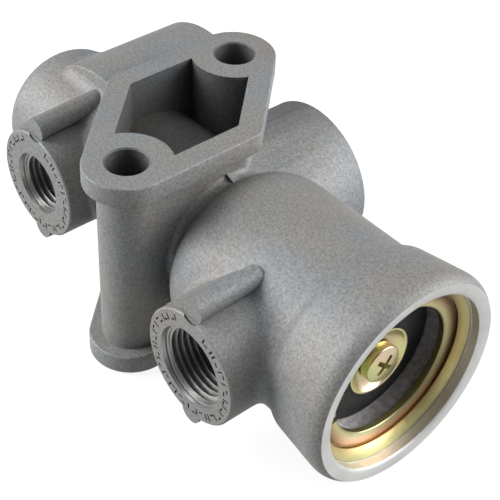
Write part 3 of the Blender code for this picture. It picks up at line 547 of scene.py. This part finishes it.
# Each front boss has a rib along its top, with a sloping flank, and a lug below. The rows give the
# port's x, the y of its face, the y where its rib ends, and the angle at which the rib rises.
FRONT_BOSSES = (
    (CHECK_X, PORT_1_FACE_Y, 0.5, math.radians(4.0)),
    (PORT_2_X, PORT_2_FACE_Y, -13.6, math.radians(1.5)),
)
RIB_R = 2.65
RIB_TIP_R = 2.3
RIB_HEIGHT = 14.4
RIB_START = 0.6
RIB_STEPS = 48
FLANK = ((0.0, 0.6), (-2.0, 1.9), (-9.0, -5.2), (0.0, -6.0))
FLANK_START = 1.5
FLANK_END = 13.4
LUG_R = 2.65
LUG_DROP = 12.8
LUG_START = 0.5
LUG_END = 6.0
for port_x, face_y, rib_end, rib_rise in FRONT_BOSSES:
    rib_length = rib_end - face_y
    rib = [(RIB_START, 0.0), (RIB_START, RIB_R), (rib_length, RIB_TIP_R), (rib_length, 0.0)]
    lug = rod(face_y + LUG_START, face_y + LUG_END, LUG_R)
    flank = raised(FLANK, face_y + FLANK_START, face_y + FLANK_END)
    bmesh.ops.rotate(flank, verts=flank.verts, matrix=Matrix.Rotation(math.pi / 2.0, 3, "X"))
    bmesh.ops.scale(flank, verts=flank.verts, vec=(1.0, -1.0, 1.0))
    bmesh.ops.reverse_faces(flank, faces=flank.faces)
    bmesh.ops.translate(flank, verts=flank.verts, vec=(port_x, 0.0, AXIS_HEIGHT + RIB_HEIGHT))
    cut(casting, piece_from("flank", flank, ALUMINIUM), "UNION")
    rib = spun(rib, "Y", (0.0, 0.0, 0.0), RIB_STEPS)
    bmesh.ops.rotate(rib, verts=rib.verts, matrix=Matrix.Rotation(rib_rise, 3, "X"))
    bmesh.ops.translate(rib, verts=rib.verts, vec=(port_x, face_y, AXIS_HEIGHT + RIB_HEIGHT))
    cut(casting, piece_from("rib", rib, ALUMINIUM), "UNION")
    lug_place = (port_x, 0.0, AXIS_HEIGHT - LUG_DROP)
    cut(casting, piece_from("lug", spun(lug, "Y", lug_place, RIB_STEPS), ALUMINIUM), "UNION")


# A deep pocket lightens the block: its floor runs over the barrel, and two bolt bosses and the wall
# of the rear housing stand into it.
POCKET_INSET = 5.0
POCKET_CORNER_R = 1.2
POCKET_BOSS_R = 9.6
POCKET_FLOOR_R = 16.6
POCKET_TOP = BODY_HEIGHT + 3.0


def pocket_outline():
    """The pocket's outline: a parallelogram, before the bolt bosses stand into it."""
    near, far = BOLT_CENTRES
    edge_x = near.x + FLANGE_R - POCKET_INSET
    reach = far.dot(SHORT_NORMAL) + FLANGE_R - POCKET_INSET
    corner = corner_centre(edge_x, reach, POCKET_CORNER_R)
    sharp = Vector((edge_x, (-reach - SHORT_NORMAL.x * edge_x) / SHORT_NORMAL.y))
    points = arc(corner, POCKET_CORNER_R, 0.0, SHORT_EDGE_ANGLE, EDGE_STEPS) + [tuple(-sharp)]
    points += arc(-corner, POCKET_CORNER_R, math.pi, math.pi + SHORT_EDGE_ANGLE, EDGE_STEPS)
    return points + [tuple(sharp)]


# The pocket takes the darker skin, painted shade for its depth.
pocket = piece_from("pocket", raised(pocket_outline(), AXIS_HEIGHT, POCKET_TOP), SHADED_RECESS)
for centre in BOLT_CENTRES:
    boss = spun(rod(0.0, 60.0, POCKET_BOSS_R), "Z", (centre.x, centre.y, 0.0))
    cut(pocket, piece_from("pocket_boss", boss))
cut(pocket, piece_from("pocket_floor", spun(rod(-40.0, 40.0, POCKET_FLOOR_R))))
wall = spun(rod(1.1, DELIVERY_FACE_Y, POCKET_FLOOR_R), "Y", DELIVERY_AXIS)
cut(pocket, piece_from("pocket_wall", wall))
cut(casting, pocket)

# Machining comes last and leaves crisp edges: the stepped bore, the rim, the ports and the holes.
# The bore's lengths are given from the mouth inwards as start, end and radius.
BORE_LENGTHS = (
    (64.95, 63.15, 19.4),  # groove of the retaining ring
    (63.15, 53.8, 18.2),   # exhaust cover
    (53.8, 27.0, 16.5),    # plunger
    (27.0, 26.6, 12.0),    # mouth of the guide's bore
    (26.6, 25.05, 12.9),   # groove of the guide's ring
    (25.05, 18.0, 12.0),   # stem guide
    (18.0, -11.1, 10.5),   # service chamber
)
VALVE_SEAT = [(-11.1, 7.3), (-10.2, 6.4), (-10.2, 5.5)]
PASSAGE_END = [(-21.8, 5.5), (-21.8, 0.0)]
main_bore = [(BORE_LENGTHS[0][0], 0.0)]
for start, end, radius in BORE_LENGTHS:
    main_bore += [(start, radius), (end, radius)]
main_bore += VALVE_SEAT + PASSAGE_END
cut(casting, piece_from("main_bore", spun(main_bore, steps=FINE_STEPS), MACHINED))

# The mouth flares from the ring in a short cone, then runs straight to the faced rim, with a fine
# groove between the two. The rim's face falls a little towards the mouth.
cone = [(67.1, 0.0), (67.1, 20.2), (65.2, 18.2), (64.5, 18.2), (64.5, 0.0)]
# The cone takes the ring's banded colours, with their painted shade and reflections.
cut(casting, piece_from("cone", spun(cone, steps=FINEST_STEPS), PAINTED_BANDS))
mouth = [
    (71.0, 0.0), (71.0, 20.1), (67.2, 20.1), (67.12, 20.25), (67.0, 20.25), (66.9, 19.8), (66.9, 0.0),
]
cut(casting, piece_from("mouth", spun(mouth, steps=FINEST_STEPS), MOUTH))
rim_stock = [
    (68.8, 0.0), (68.8, 19.8), (69.2, 20.3), (RIM_X, 20.9), (RIM_X, 30.0), (80.0, 30.0), (80.0, 0.0),
]
cut(casting, piece_from("rim_stock", spun(rim_stock, steps=FINEST_STEPS), FACED))

# Both bolt holes go right through and are chamfered at each end.
HOLE_CHAMFER = 0.3
HOLE_RUN_OUT = 1.0
HOLE_STEPS = 64
hole_end_r = BOLT_HOLE_R + HOLE_CHAMFER + HOLE_RUN_OUT
bolt_hole = [
    (-HOLE_RUN_OUT, 0.0), (-HOLE_RUN_OUT, hole_end_r), (HOLE_CHAMFER, BOLT_HOLE_R),
    (BODY_HEIGHT - HOLE_CHAMFER, BOLT_HOLE_R), (BODY_HEIGHT + HOLE_RUN_OUT, hole_end_r),
    (BODY_HEIGHT + HOLE_RUN_OUT, 0.0),
]
# The holes' walls take the darker skin as painted shade.
for centre in BOLT_CENTRES:
    hole = spun(bolt_hole, "Z", (centre.x, centre.y, 0.0), HOLE_STEPS)
    cut(casting, piece_from("bolt_hole", hole, SHADED_RECESS))


# The front bosses are faced flat, and a round notch in each rim bares the end of its rib. Plain
# strokes are sunk into the rim all round, as a foundry leaves them: upright along the radius, or
# short across it, nearer the inner or the outer edge.
FACE_CHAMFER = 0.35
FACE_STOCK = 5.0
FACE_STOCK_R = 16.5
CUTTER_PLAY = 0.05
NOTCH_RUN_OUT = 1.0
NOTCH_DEPTH = 0.45
UPRIGHT = "|"
STROKE_R = 10.9
STROKE_WIDTH = 0.4
STROKE_DEPTH = 0.3
UPRIGHT_LENGTH = 1.5
CROSS_LENGTH = 1.0
STROKE_LIFTS = {UPRIGHT: 0.0, "-": -0.5, "=": 0.55}
STROKE_GROUPS = ("|-", "||", "-", "|=", "|", "=-", "|-|", "-|", "=")
STROKES_START = math.radians(22.0)
STROKES_END = math.radians(338.0)
STROKE_SPACING = math.radians(5.2)
GROUP_GAP = math.radians(3.0)


def stroke(kind, angle, place):
    """The cutter of one sunk stroke of a rim."""
    wide_side = STROKE_WIDTH if kind == UPRIGHT else CROSS_LENGTH
    long_side = UPRIGHT_LENGTH if kind == UPRIGHT else STROKE_WIDTH
    shape = bmesh.new()
    bmesh.ops.create_cube(shape, size=1.0)
    bmesh.ops.scale(shape, verts=shape.verts, vec=(wide_side, 2.0 * STROKE_DEPTH, long_side))
    bmesh.ops.translate(shape, verts=shape.verts, vec=(0.0, 0.0, STROKE_R + STROKE_LIFTS[kind]))
    bmesh.ops.rotate(shape, verts=shape.verts, matrix=Matrix.Rotation(angle, 3, "Y"))
    bmesh.ops.translate(shape, verts=shape.verts, vec=place)
    return shape


for port_x, face_y, *_ in FRONT_BOSSES:
    play_r = BOSS_R + CUTTER_PLAY
    stock = [
        (face_y - FACE_STOCK, 0.0), (face_y - FACE_STOCK, FACE_STOCK_R), (face_y, FACE_STOCK_R),
        (face_y, play_r), (face_y + FACE_CHAMFER, play_r), (face_y, play_r - FACE_CHAMFER),
        (face_y, 0.0),
    ]
    stock = spun(stock, "Y", (port_x, 0.0, AXIS_HEIGHT))
    cut(casting, piece_from("face_stock", stock, ALUMINIUM))
    notch = rod(face_y - NOTCH_RUN_OUT, face_y + NOTCH_DEPTH, RIB_R + CUTTER_PLAY)
    notch = spun(notch, "Y", (port_x, 0.0, AXIS_HEIGHT + RIB_HEIGHT), RIB_STEPS)
    # The notch's floor has the bright cast skin, and its side takes the darker skin as painted shade.
    for face in notch.faces:
        face.material_index = 0 if abs(face.normal.y) > 0.9 else 1
    cut(casting, piece_from("notch", notch, ALUMINIUM, SHADED_RECESS))
    strokes = []
    angle = STROKES_START
    group = 0
    while angle < STROKES_END:
        for kind in STROKE_GROUPS[group % len(STROKE_GROUPS)]:
            strokes.append(stroke(kind, angle, (port_x, face_y, AXIS_HEIGHT)))
            angle += STROKE_SPACING
        angle += GROUP_GAP
        group += 1
    # The strokes take the darker skin, painted shade in the sunk marks.
    cut(casting, piece_from("strokes", joined(strokes), SHADED_RECESS))


# The ports have tapered pipe threads, with a pitch for the small and one for the large sizes. Each
# thread's flanks and lands are shares of its pitch.
FINE_PITCH = 1.411
COARSE_PITCH = 1.814
TOOTH_SHARE = 0.72
TOOTH_SHAPE = ((0.0, 0.0), (0.08, 0.0), (0.46, TOOTH_SHARE), (0.54, TOOTH_SHARE), (0.92, 0.0))
LENGTH_PER_TAPER = 32.0
THREAD_STEPS = 64
THREAD_WELD = 0.07
CHAMFER_RUN_OUT = 0.4
CHAMFER_DEPTH = 1.6
CHAMFER_RISE = 0.6
CORE_PLAY = 0.1
PORT_STEPS = 64


def thread_tool(x, face, inward, root_r, depth, pitch):
    """A tapered pipe tap: its teeth sweep once round while they move on by one pitch."""
    turns = int(depth / pitch) + 1
    profile = [(-pitch, 0.0)]
    for turn in range(-1, turns):
        start = turn * pitch
        for share, rise in TOOTH_SHAPE:
            place = start + share * pitch
            profile.append((place, root_r - rise * pitch - place / LENGTH_PER_TAPER))
    end = turns * pitch
    profile += [(end, root_r - end / LENGTH_PER_TAPER), (end, 0.0)]
    shape = bmesh.new()
    verts = [shape.verts.new((place, 0.0, radius)) for place, radius in profile]
    edges = [shape.edges.new(pair) for pair in zip(verts, verts[1:])]
    bmesh.ops.spin(
        shape, geom=verts + edges, cent=(0.0, 0.0, 0.0), axis=(1.0, 0.0, 0.0),
        dvec=(pitch / THREAD_STEPS, 0.0, 0.0), angle=math.tau, steps=THREAD_STEPS, use_merge=False,
    )
    bmesh.ops.remove_doubles(shape, verts=shape.verts, dist=THREAD_WELD)
    bmesh.ops.holes_fill(shape, edges=shape.edges, sides=0)
    bmesh.ops.recalc_face_normals(shape, faces=shape.faces)
    if inward < 0.0:
        bmesh.ops.rotate(shape, verts=shape.verts, matrix=Matrix.Rotation(math.pi, 3, "Z"))
    bmesh.ops.rotate(shape, verts=shape.verts, matrix=Matrix.Rotation(math.pi / 2.0, 3, "Z"))
    bmesh.ops.translate(shape, verts=shape.verts, vec=(x, face, AXIS_HEIGHT))
    return piece_from("thread", shape, TAPPED)


def cut_port(x, face, inward, mouth_r, root_r, depth, pitch, passage):
    """A port: a chamfered mouth, a tapped length, and the passage behind it."""
    cut(casting, thread_tool(x, face, inward, root_r, depth, pitch))
    core_r = root_r - TOOTH_SHARE * pitch - depth / LENGTH_PER_TAPER - CORE_PLAY
    port_mouth = [
        (face - inward, 0.0), (face - inward, mouth_r + CHAMFER_RUN_OUT), (face, mouth_r),
        (face + inward * CHAMFER_DEPTH, mouth_r - CHAMFER_RISE),
        (face + inward * CHAMFER_DEPTH, core_r), (face + inward * (depth + pitch), core_r),
    ]
    port_mouth = spun(port_mouth + passage, "Y", (x, 0.0, AXIS_HEIGHT), PORT_STEPS)
    cut(casting, piece_from("port_mouth", port_mouth, TAPPED))


cut_port(
    CHECK_X, PORT_1_FACE_Y, inward=1.0, mouth_r=7.3, root_r=7.05, depth=11.3,
    pitch=FINE_PITCH, passage=[(-8.0, 5.0), (-4.5, 5.0), (-4.5, 0.0)],
)
cut_port(
    PORT_2_X, PORT_2_FACE_Y, inward=1.0, mouth_r=8.9, root_r=8.75, depth=11.3,
    pitch=FINE_PITCH, passage=[(-17.3, 5.5), (-8.0, 5.5), (-8.0, 0.0)],
)
cut_port(
    DELIVERY_X, DELIVERY_FACE_Y, inward=-1.0, mouth_r=11.3, root_r=10.7, depth=13.5,
    pitch=COARSE_PITCH, passage=[(16.0, 7.0), (5.0, 7.0), (5.0, 0.0)],
)
cut_port(
    CHECK_X, CHECK_FACE_Y, inward=-1.0, mouth_r=11.3, root_r=10.7, depth=9.8,
    pitch=COARSE_PITCH, passage=[(15.8, 9.2), (9.8, 9.2), (9.8, 0.0)],
)
shuttle_bore = spun(rod(-5.5, 10.8, 8.0), "Y", CHECK_AXIS)
cut(casting, piece_from("shuttle_bore", shuttle_bore, MACHINED))
finish_piece(casting, "body")
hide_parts("valve_body")


# Retaining ring
# A flat internal ring of zinc-plated spring steel, snapped into its groove in the bore, with a
# narrow gap between its ends. Its yellow passivation shifts towards green; its colours also carry
# painted shade and reflections in dark bands, and a pinker painted lit side low down.
RING_INNER_X = 63.3
RING_THICKNESS = 1.5
RING_INNER_R = 14.6
RING_OUTER_R = 19.1
RING_EDGE = 0.15
RING_GAP_ANGLE = math.radians(105.0)
RING_GAP_WIDTH = 1.6
GAP_CUTTER_X = (60.0, 68.0)


def yellow_zinc():
    """Yellow-passivated zinc: bright, with faint pink and green bands."""
    material, tree, shader = node_material("yellow_zinc")
    bands = ramp(tree, object_noise(tree, 120.0, 1.0), [
        (0.3, (0.43, 0.47, 0.22)), (0.45, (0.56, 0.50, 0.25)), (0.6, (0.60, 0.47, 0.32)),
        (0.72, (0.48, 0.49, 0.28)),
    ])
    tree.links.new(bands, shader.inputs["Base Color"])
    shine = ramp(tree, object_noise(tree, 700.0), [(0.3, 0.28), (0.7, 0.38)])
    tree.links.new(shine, shader.inputs["Roughness"])
    shader.inputs["Metallic"].default_value = 1.0
    bump(tree, shader, object_noise(tree, 1800.0), 0.12, 0.00003)
    return material


ZINC = yellow_zinc()


def ring_profile(start, end, inner, outer, edge):
    """Section of a flat ring with slightly broken edges."""
    return [
        (start + edge, inner), (start, inner + edge), (start, outer - edge), (start + edge, outer),
        (end - edge, outer), (end, outer - edge), (end, inner + edge), (end - edge, inner),
    ]


def block_between(low, high):
    """A box between two corners."""
    shape = bmesh.new()
    bmesh.ops.create_cube(shape, size=1.0)
    size = [b - a for a, b in zip(low, high)]
    bmesh.ops.scale(shape, verts=shape.verts, vec=size)
    bmesh.ops.translate(shape, verts=shape.verts, vec=[(a + b) / 2.0 for a, b in zip(low, high)])
    return shape


def turned_about_bore(shape, angle):
    """Turn a shape about the bore and bring it to the bore's height."""
    bmesh.ops.rotate(shape, verts=shape.verts, matrix=Matrix.Rotation(angle, 3, "X"))
    bmesh.ops.translate(shape, verts=shape.verts, vec=(0.0, 0.0, AXIS_HEIGHT))
    return shape


# The ring's colours carry painted shade and reflections in bands, and a painted lit low side.
RING_ZINC = passivation_with_painted_light("ring_painted_bands")
ring_section = ring_profile(
    RING_INNER_X, RING_INNER_X + RING_THICKNESS, RING_INNER_R, RING_OUTER_R, RING_EDGE,
)
ring_shape = spun(ring_section, steps=FINEST_STEPS, closed=True)
retaining_ring = piece_from("snap_ring", ring_shape, RING_ZINC)
half_gap = RING_GAP_WIDTH / 2.0
gap = block_between(
    (GAP_CUTTER_X[0], -half_gap, RING_INNER_R - 1.0), (GAP_CUTTER_X[1], half_gap, RING_OUTER_R + 1.0),
)
cut(retaining_ring, piece_from("gap", turned_about_bore(gap, RING_GAP_ANGLE), RING_ZINC))
finish_piece(retaining_ring, "body")
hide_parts("retaining_ring")


# Exhaust cover
# A dark coated steel cup that closes the bore behind the ring. Air leaves through four windows in
# its floor, and a boss in its middle takes the flap's screw.
COVER_OUTER_X = 63.0
COVER_INNER_X = 54.1
COVER_R = 17.9
FLOOR_X = 58.1
FLOOR_THICKNESS = 2.0
SCREW_HOLE_R = 2.65
BOSS_END_X = 47.6
GROOVE_START_X = 54.8
GROOVE_END_X = 57.1
GROOVE_R = 15.9
WINDOW_CUTTER_X = (55.0, 59.0)
WINDOW_INNER_R = 6.6
WINDOW_OUTER_R = 13.4
SPOKE_CUTTER_X = (54.0, 60.0)
SPOKE_HALF_WIDTH = 1.6
SPOKE_REACH = 14.4


def dark_coating():
    """Dark grey conversion coating on steel: matt and slightly mottled."""
    material, tree, shader = node_material("dark_coating")
    tone = ramp(tree, object_noise(tree, 900.0, 3.0), [
        (0.3, (0.27, 0.255, 0.262)), (0.7, (0.48, 0.455, 0.465)),
    ])
    tree.links.new(tone, shader.inputs["Base Color"])
    shader.inputs["Metallic"].default_value = 0.1
    shader.inputs["Roughness"].default_value = 0.7
    bump(tree, shader, object_noise(tree, 1400.0, 3.0), 0.35, 0.00006)
    return material


COATING = dark_coating()
floor_back = FLOOR_X - FLOOR_THICKNESS
cover_section = [
    (FLOOR_X, SCREW_HOLE_R), (FLOOR_X, 16.2), (FLOOR_X + 0.3, 16.9), (FLOOR_X + 1.0, 17.2),
    (COVER_OUTER_X - 0.7, 17.2), (COVER_OUTER_X - 0.15, 17.45), (COVER_OUTER_X, 17.75),
    (COVER_OUTER_X - 0.15, COVER_R), (GROOVE_END_X, COVER_R), (GROOVE_END_X, GROOVE_R),
    (GROOVE_START_X, GROOVE_R), (GROOVE_START_X, COVER_R), (COVER_INNER_X + 0.2, COVER_R),
    (COVER_INNER_X, COVER_R - 0.2), (COVER_INNER_X, 15.0),
    (floor_back, 15.0), (floor_back, 4.6), (BOSS_END_X + 0.2, 4.6), (BOSS_END_X, 4.4),
    (BOSS_END_X, SCREW_HOLE_R),
]
cover = piece_from("cover", spun(cover_section, steps=FINEST_STEPS, closed=True), COATING)
window_section = ring_profile(*WINDOW_CUTTER_X, WINDOW_INNER_R, WINDOW_OUTER_R, 0.0)
windows = piece_from("windows", spun(window_section, closed=True), COATING)
for turn in (0.25, 0.75):
    spoke = block_between(
        (SPOKE_CUTTER_X[0], -SPOKE_HALF_WIDTH, -SPOKE_REACH),
        (SPOKE_CUTTER_X[1], SPOKE_HALF_WIDTH, SPOKE_REACH),
    )
    cut(windows, piece_from("spoke", turned_about_bore(spoke, turn * math.pi)))
cut(cover, windows)
finish_piece(cover, "body")
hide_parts("exhaust_cover")


# Exhaust flap
# A black rubber disc that lies over the cover's windows. It only lifts at its edge when air leaves,
# so it is held at its middle, under the cup washer.
FLAP_INNER_X = 58.4
FLAP_OUTER_X = 59.3
FLAP_R = 15.6
FLAP_EDGE = 0.2


def black_rubber():
    """Moulded black rubber: matt, with a faint bloom."""
    material, tree, shader = node_material("black_rubber")
    tone = ramp(tree, object_noise(tree, 260.0, 3.0), [
        (0.35, (0.010, 0.010, 0.011)), (0.7, (0.022, 0.021, 0.022)),
    ])
    tree.links.new(tone, shader.inputs["Base Color"])
    shine = ramp(tree, object_noise(tree, 900.0), [(0.3, 0.5), (0.7, 0.68)])
    tree.links.new(shine, shader.inputs["Roughness"])
    bump(tree, shader, object_noise(tree, 1600.0), 0.2, 0.00004)
    return material


RUBBER = black_rubber()
flap_section = ring_profile(FLAP_INNER_X, FLAP_OUTER_X, SCREW_HOLE_R, FLAP_R, FLAP_EDGE)
flap = piece_from("flap", spun(flap_section, steps=FINE_STEPS, closed=True), RUBBER)
finish_piece(flap, "body")
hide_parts("exhaust_flap")


# Cup washer
# Pressed zinc-plated steel: a flat base under the screw's head and a turned-up rim with a rolled
# edge, which keeps the rubber from lifting too far.
WASHER_X = 59.6
WASHER_R = 7.75
WASHER_THICKNESS = 0.7
washer_front = WASHER_X + WASHER_THICKNESS
washer_section = [
    (WASHER_X, SCREW_HOLE_R), (WASHER_X, 5.6), (WASHER_X + 0.12, 6.1), (WASHER_X + 0.5, 6.75),
    (WASHER_X + 1.1, 7.4), (WASHER_X + 1.5, 7.68), (WASHER_X + 1.75, WASHER_R),
    (WASHER_X + 1.93, 7.68), (WASHER_X + 2.0, 7.45), (WASHER_X + 1.93, 7.2), (WASHER_X + 1.75, 7.05),
    (WASHER_X + 1.4, 6.7), (WASHER_X + 1.0, 6.05), (WASHER_X + 0.78, 5.5), (washer_front, 5.0),
    (washer_front, SCREW_HOLE_R),
]
washer = piece_from("cup_washer", spun(washer_section, steps=FINE_STEPS, closed=True), ZINC)
finish_piece(washer, "body", sharp_degrees=50.0)
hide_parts("flap_washer")


# Flap screw
# A zinc-plated pan-head machine screw with a cross recess, turned into the cover's boss.
HEAD_X = 60.6
HEAD_HEIGHT = 2.5
HEAD_R = 4.25
HEAD_EDGE = 0.35
HEAD_DOME_R = 21.7
HEAD_DOME_STEPS = 8
SHANK_END_X = 49.6
SHANK_R = 2.35
CROSS_TURN = math.radians(48.0)
CROSS_DEPTH_X = HEAD_X + 0.7
CROSS_TOP_X = HEAD_X + 2.9
CROSS_HALF_WIDTH = 0.55
CROSS_REACH = 2.75
CROSS_TAPER = (1.0, 0.7, 0.55)
dome_edge_angle = math.asin((HEAD_R - HEAD_EDGE) / (HEAD_DOME_R - HEAD_EDGE))
dome_centre_x = HEAD_X + HEAD_HEIGHT - HEAD_DOME_R
head_edge_x = dome_centre_x + (HEAD_DOME_R - HEAD_EDGE) * math.cos(dome_edge_angle)
head_edge = (head_edge_x, HEAD_R - HEAD_EDGE)
crown = arc(head_edge, HEAD_EDGE, math.pi / 2.0, dome_edge_angle, EDGE_STEPS)
crown += arc((dome_centre_x, 0.0), HEAD_DOME_R, dome_edge_angle, 0.0, HEAD_DOME_STEPS)[1:]
screw_section = [
    (SHANK_END_X, 0.0), (SHANK_END_X, 1.9), (SHANK_END_X + 0.4, SHANK_R), (HEAD_X, SHANK_R),
    (HEAD_X, 4.2), (HEAD_X + 0.2, HEAD_R),
]
screw = piece_from("screw", spun(screw_section + crown), ZINC)
for quarter in range(2):
    arm = block_between(
        (CROSS_DEPTH_X, -CROSS_HALF_WIDTH, -CROSS_REACH), (CROSS_TOP_X, CROSS_HALF_WIDTH, CROSS_REACH),
    )
    low = [vert for vert in arm.verts if vert.co.x < (CROSS_DEPTH_X + CROSS_TOP_X) / 2.0]
    bmesh.ops.scale(arm, verts=low, vec=CROSS_TAPER)
    arm = turned_about_bore(arm, CROSS_TURN + quarter * math.pi / 2.0)
    cut(screw, piece_from("arm", arm, ZINC))
finish_piece(screw, "body", sharp_degrees=30.0)
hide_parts("flap_screw")


# Pieces inside
# The plunger, guide, seats, seals and small fasteners keep their CAD shapes, in turned brass,
# moulded rubber and bright steel. Only glimpses of them show through the rear ports.
def turned_metal(name, dark, light, roughness):
    """A turned metal with fine variation in tone and shine."""
    material, tree, shader = node_material(name)
    tone = ramp(tree, object_noise(tree, 400.0, 2.0), [(0.3, dark), (0.7, light)])
    tree.links.new(tone, shader.inputs["Base Color"])
    shine = ramp(tree, object_noise(tree, 900.0), [(0.3, roughness - 0.06), (0.7, roughness + 0.06)])
    tree.links.new(shine, shader.inputs["Roughness"])
    shader.inputs["Metallic"].default_value = 1.0
    bump(tree, shader, object_noise(tree, 2200.0), 0.1, 0.00003)
    return material


BRASS = turned_metal("turned_brass", (0.52, 0.38, 0.16), (0.66, 0.50, 0.24), 0.32)
STEEL = turned_metal("bright_steel", (0.42, 0.42, 0.43), (0.58, 0.58, 0.58), 0.3)
INNER_FINISHES = {"brass": BRASS, "black_rubber": RUBBER, "steel": STEEL}
for subpart in frame["record"]["subparts"]:
    finish = INNER_FINISHES.get(subpart["material_slot"])
    node = nodes[subpart["node"]]
    if finish is not None and not node.hide_render:
        node.data.materials.clear()
        node.data.materials.append(finish)


# Plunger spring
# A compression spring of bright steel wire, closed at each end. One end stays against the cover and
# the other goes with the plunger, so its open turns draw together as the plunger travels.
SPRING_START_X = 31.5
SPRING_END_X = 55.2
SPRING_R = 6.3
SPRING_WIRE_R = 0.6
SPRING_TURNS = 7
CLOSED_PITCH = 1.3
TURN_STEPS = 36
WIRE_SIDES = 12


def spring_coil():
    """Wire swept along the spring's helix, with a closed turn at each end."""
    open_pitch = (SPRING_END_X - SPRING_START_X - 2.0 * CLOSED_PITCH) / (SPRING_TURNS - 2)
    shape = bmesh.new()
    bmesh.ops.create_circle(shape, cap_ends=True, segments=WIRE_SIDES, radius=SPRING_WIRE_R)
    bmesh.ops.translate(shape, verts=shape.verts, vec=(SPRING_START_X, SPRING_R, 0.0))
    section = shape.verts[:] + shape.edges[:] + shape.faces[:]
    for turns, pitch in ((1, CLOSED_PITCH), (SPRING_TURNS - 2, open_pitch), (1, CLOSED_PITCH)):
        section = bmesh.ops.spin(
            shape, geom=section, cent=(0.0, 0.0, 0.0), axis=(1.0, 0.0, 0.0),
            dvec=(pitch / TURN_STEPS, 0.0, 0.0), angle=math.tau * turns, steps=turns * TURN_STEPS,
            use_merge=False,
        )["geom_last"]
    bmesh.ops.translate(shape, verts=shape.verts, vec=(0.0, 0.0, AXIS_HEIGHT))
    bmesh.ops.recalc_face_normals(shape, faces=shape.faces)
    return shape


spring = piece_from("spring", spring_coil(), STEEL)
finish_piece(spring)
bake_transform(spring)
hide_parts("plunger_spring")


# Floor and light
# A pale floor under the foot, two soft lamps low on either side of the camera, two higher ones, and
# a weak fill from all round.
FLOOR_SIZE = 3.0
FLOOR_CLEARANCE = 0.0001
FLOOR_GREY = 0.2
FLOOR_GLOW = 0.88
FILL_LIGHT = 0.15
LAMP_AIM = Vector((0.01, 0.0, 0.02))


def pale_floor():
    """Pale floor that looks white to the camera and keeps a soft shadow."""
    material = bpy.data.materials.new("pale_floor")
    material.use_nodes = True
    tree = material.node_tree
    shader = tree.nodes["Principled BSDF"]
    shader.inputs["Base Color"].default_value = (FLOOR_GREY, FLOOR_GREY, FLOOR_GREY, 1.0)
    shader.inputs["Roughness"].default_value = 0.9
    shader.inputs["Specular IOR Level"].default_value = 0.1
    glow = tree.nodes.new("ShaderNodeEmission")
    glow.inputs["Color"].default_value = (1.0, 1.0, 1.0, 1.0)
    path = tree.nodes.new("ShaderNodeLightPath")
    seen = tree.nodes.new("ShaderNodeMath")
    seen.operation = "MAXIMUM"
    tree.links.new(path.outputs["Is Camera Ray"], seen.inputs[0])
    tree.links.new(path.outputs["Is Glossy Ray"], seen.inputs[1])
    level = tree.nodes.new("ShaderNodeMath")
    level.operation = "MULTIPLY"
    level.inputs[1].default_value = FLOOR_GLOW
    tree.links.new(seen.outputs["Value"], level.inputs[0])
    mix = tree.nodes.new("ShaderNodeAddShader")
    tree.links.new(level.outputs["Value"], glow.inputs["Strength"])
    tree.links.new(shader.outputs["BSDF"], mix.inputs[0])
    tree.links.new(glow.outputs["Emission"], mix.inputs[1])
    tree.links.new(mix.outputs["Shader"], tree.nodes["Material Output"].inputs["Surface"])
    return material


floor_shape = bmesh.new()
bmesh.ops.create_grid(floor_shape, x_segments=1, y_segments=1, size=FLOOR_SIZE)
floor_height = cad_box[0][2] - FLOOR_CLEARANCE
bmesh.ops.translate(floor_shape, verts=floor_shape.verts, vec=(0.0, 0.0, floor_height))
floor = piece_from("floor", floor_shape, pale_floor())

world = bpy.data.worlds.new("studio")
bpy.context.scene.world = world
world.use_nodes = True
sky = world.node_tree.nodes["Background"]
sky.inputs["Color"].default_value = (1.0, 1.0, 1.0, 1.0)
path = world.node_tree.nodes.new("ShaderNodeLightPath")
rays = world.node_tree.nodes.new("ShaderNodeMath")
rays.operation = "MAXIMUM"
world.node_tree.links.new(path.outputs["Is Camera Ray"], rays.inputs[0])
world.node_tree.links.new(path.outputs["Is Transmission Ray"], rays.inputs[1])
strength = world.node_tree.nodes.new("ShaderNodeMapRange")
strength.inputs["To Min"].default_value = FILL_LIGHT
strength.inputs["To Max"].default_value = 1.0
world.node_tree.links.new(rays.outputs["Value"], strength.inputs["Value"])
world.node_tree.links.new(strength.outputs["Result"], sky.inputs["Strength"])


def lamp(name, place, size, power):
    """A square soft lamp aimed at the middle of the valve."""
    light = bpy.data.lights.new(name, "AREA")
    light.size = size
    light.energy = power
    thing = bpy.data.objects.new(name, light)
    bpy.context.scene.collection.objects.link(thing)
    thing.location = place
    aim = LAMP_AIM - Vector(place)
    thing.rotation_euler = aim.to_track_quat("-Z", "Y").to_euler()


lamp("left", (-0.50, -0.58, 0.35), 0.45, 8.6)
lamp("high_left", (-0.35, -0.40, 0.65), 0.5, 2.4)
lamp("high_right", (0.35, 0.35, 0.65), 0.5, 2.4)
lamp("right", (0.52, 0.60, 0.32), 0.5, 8.6)
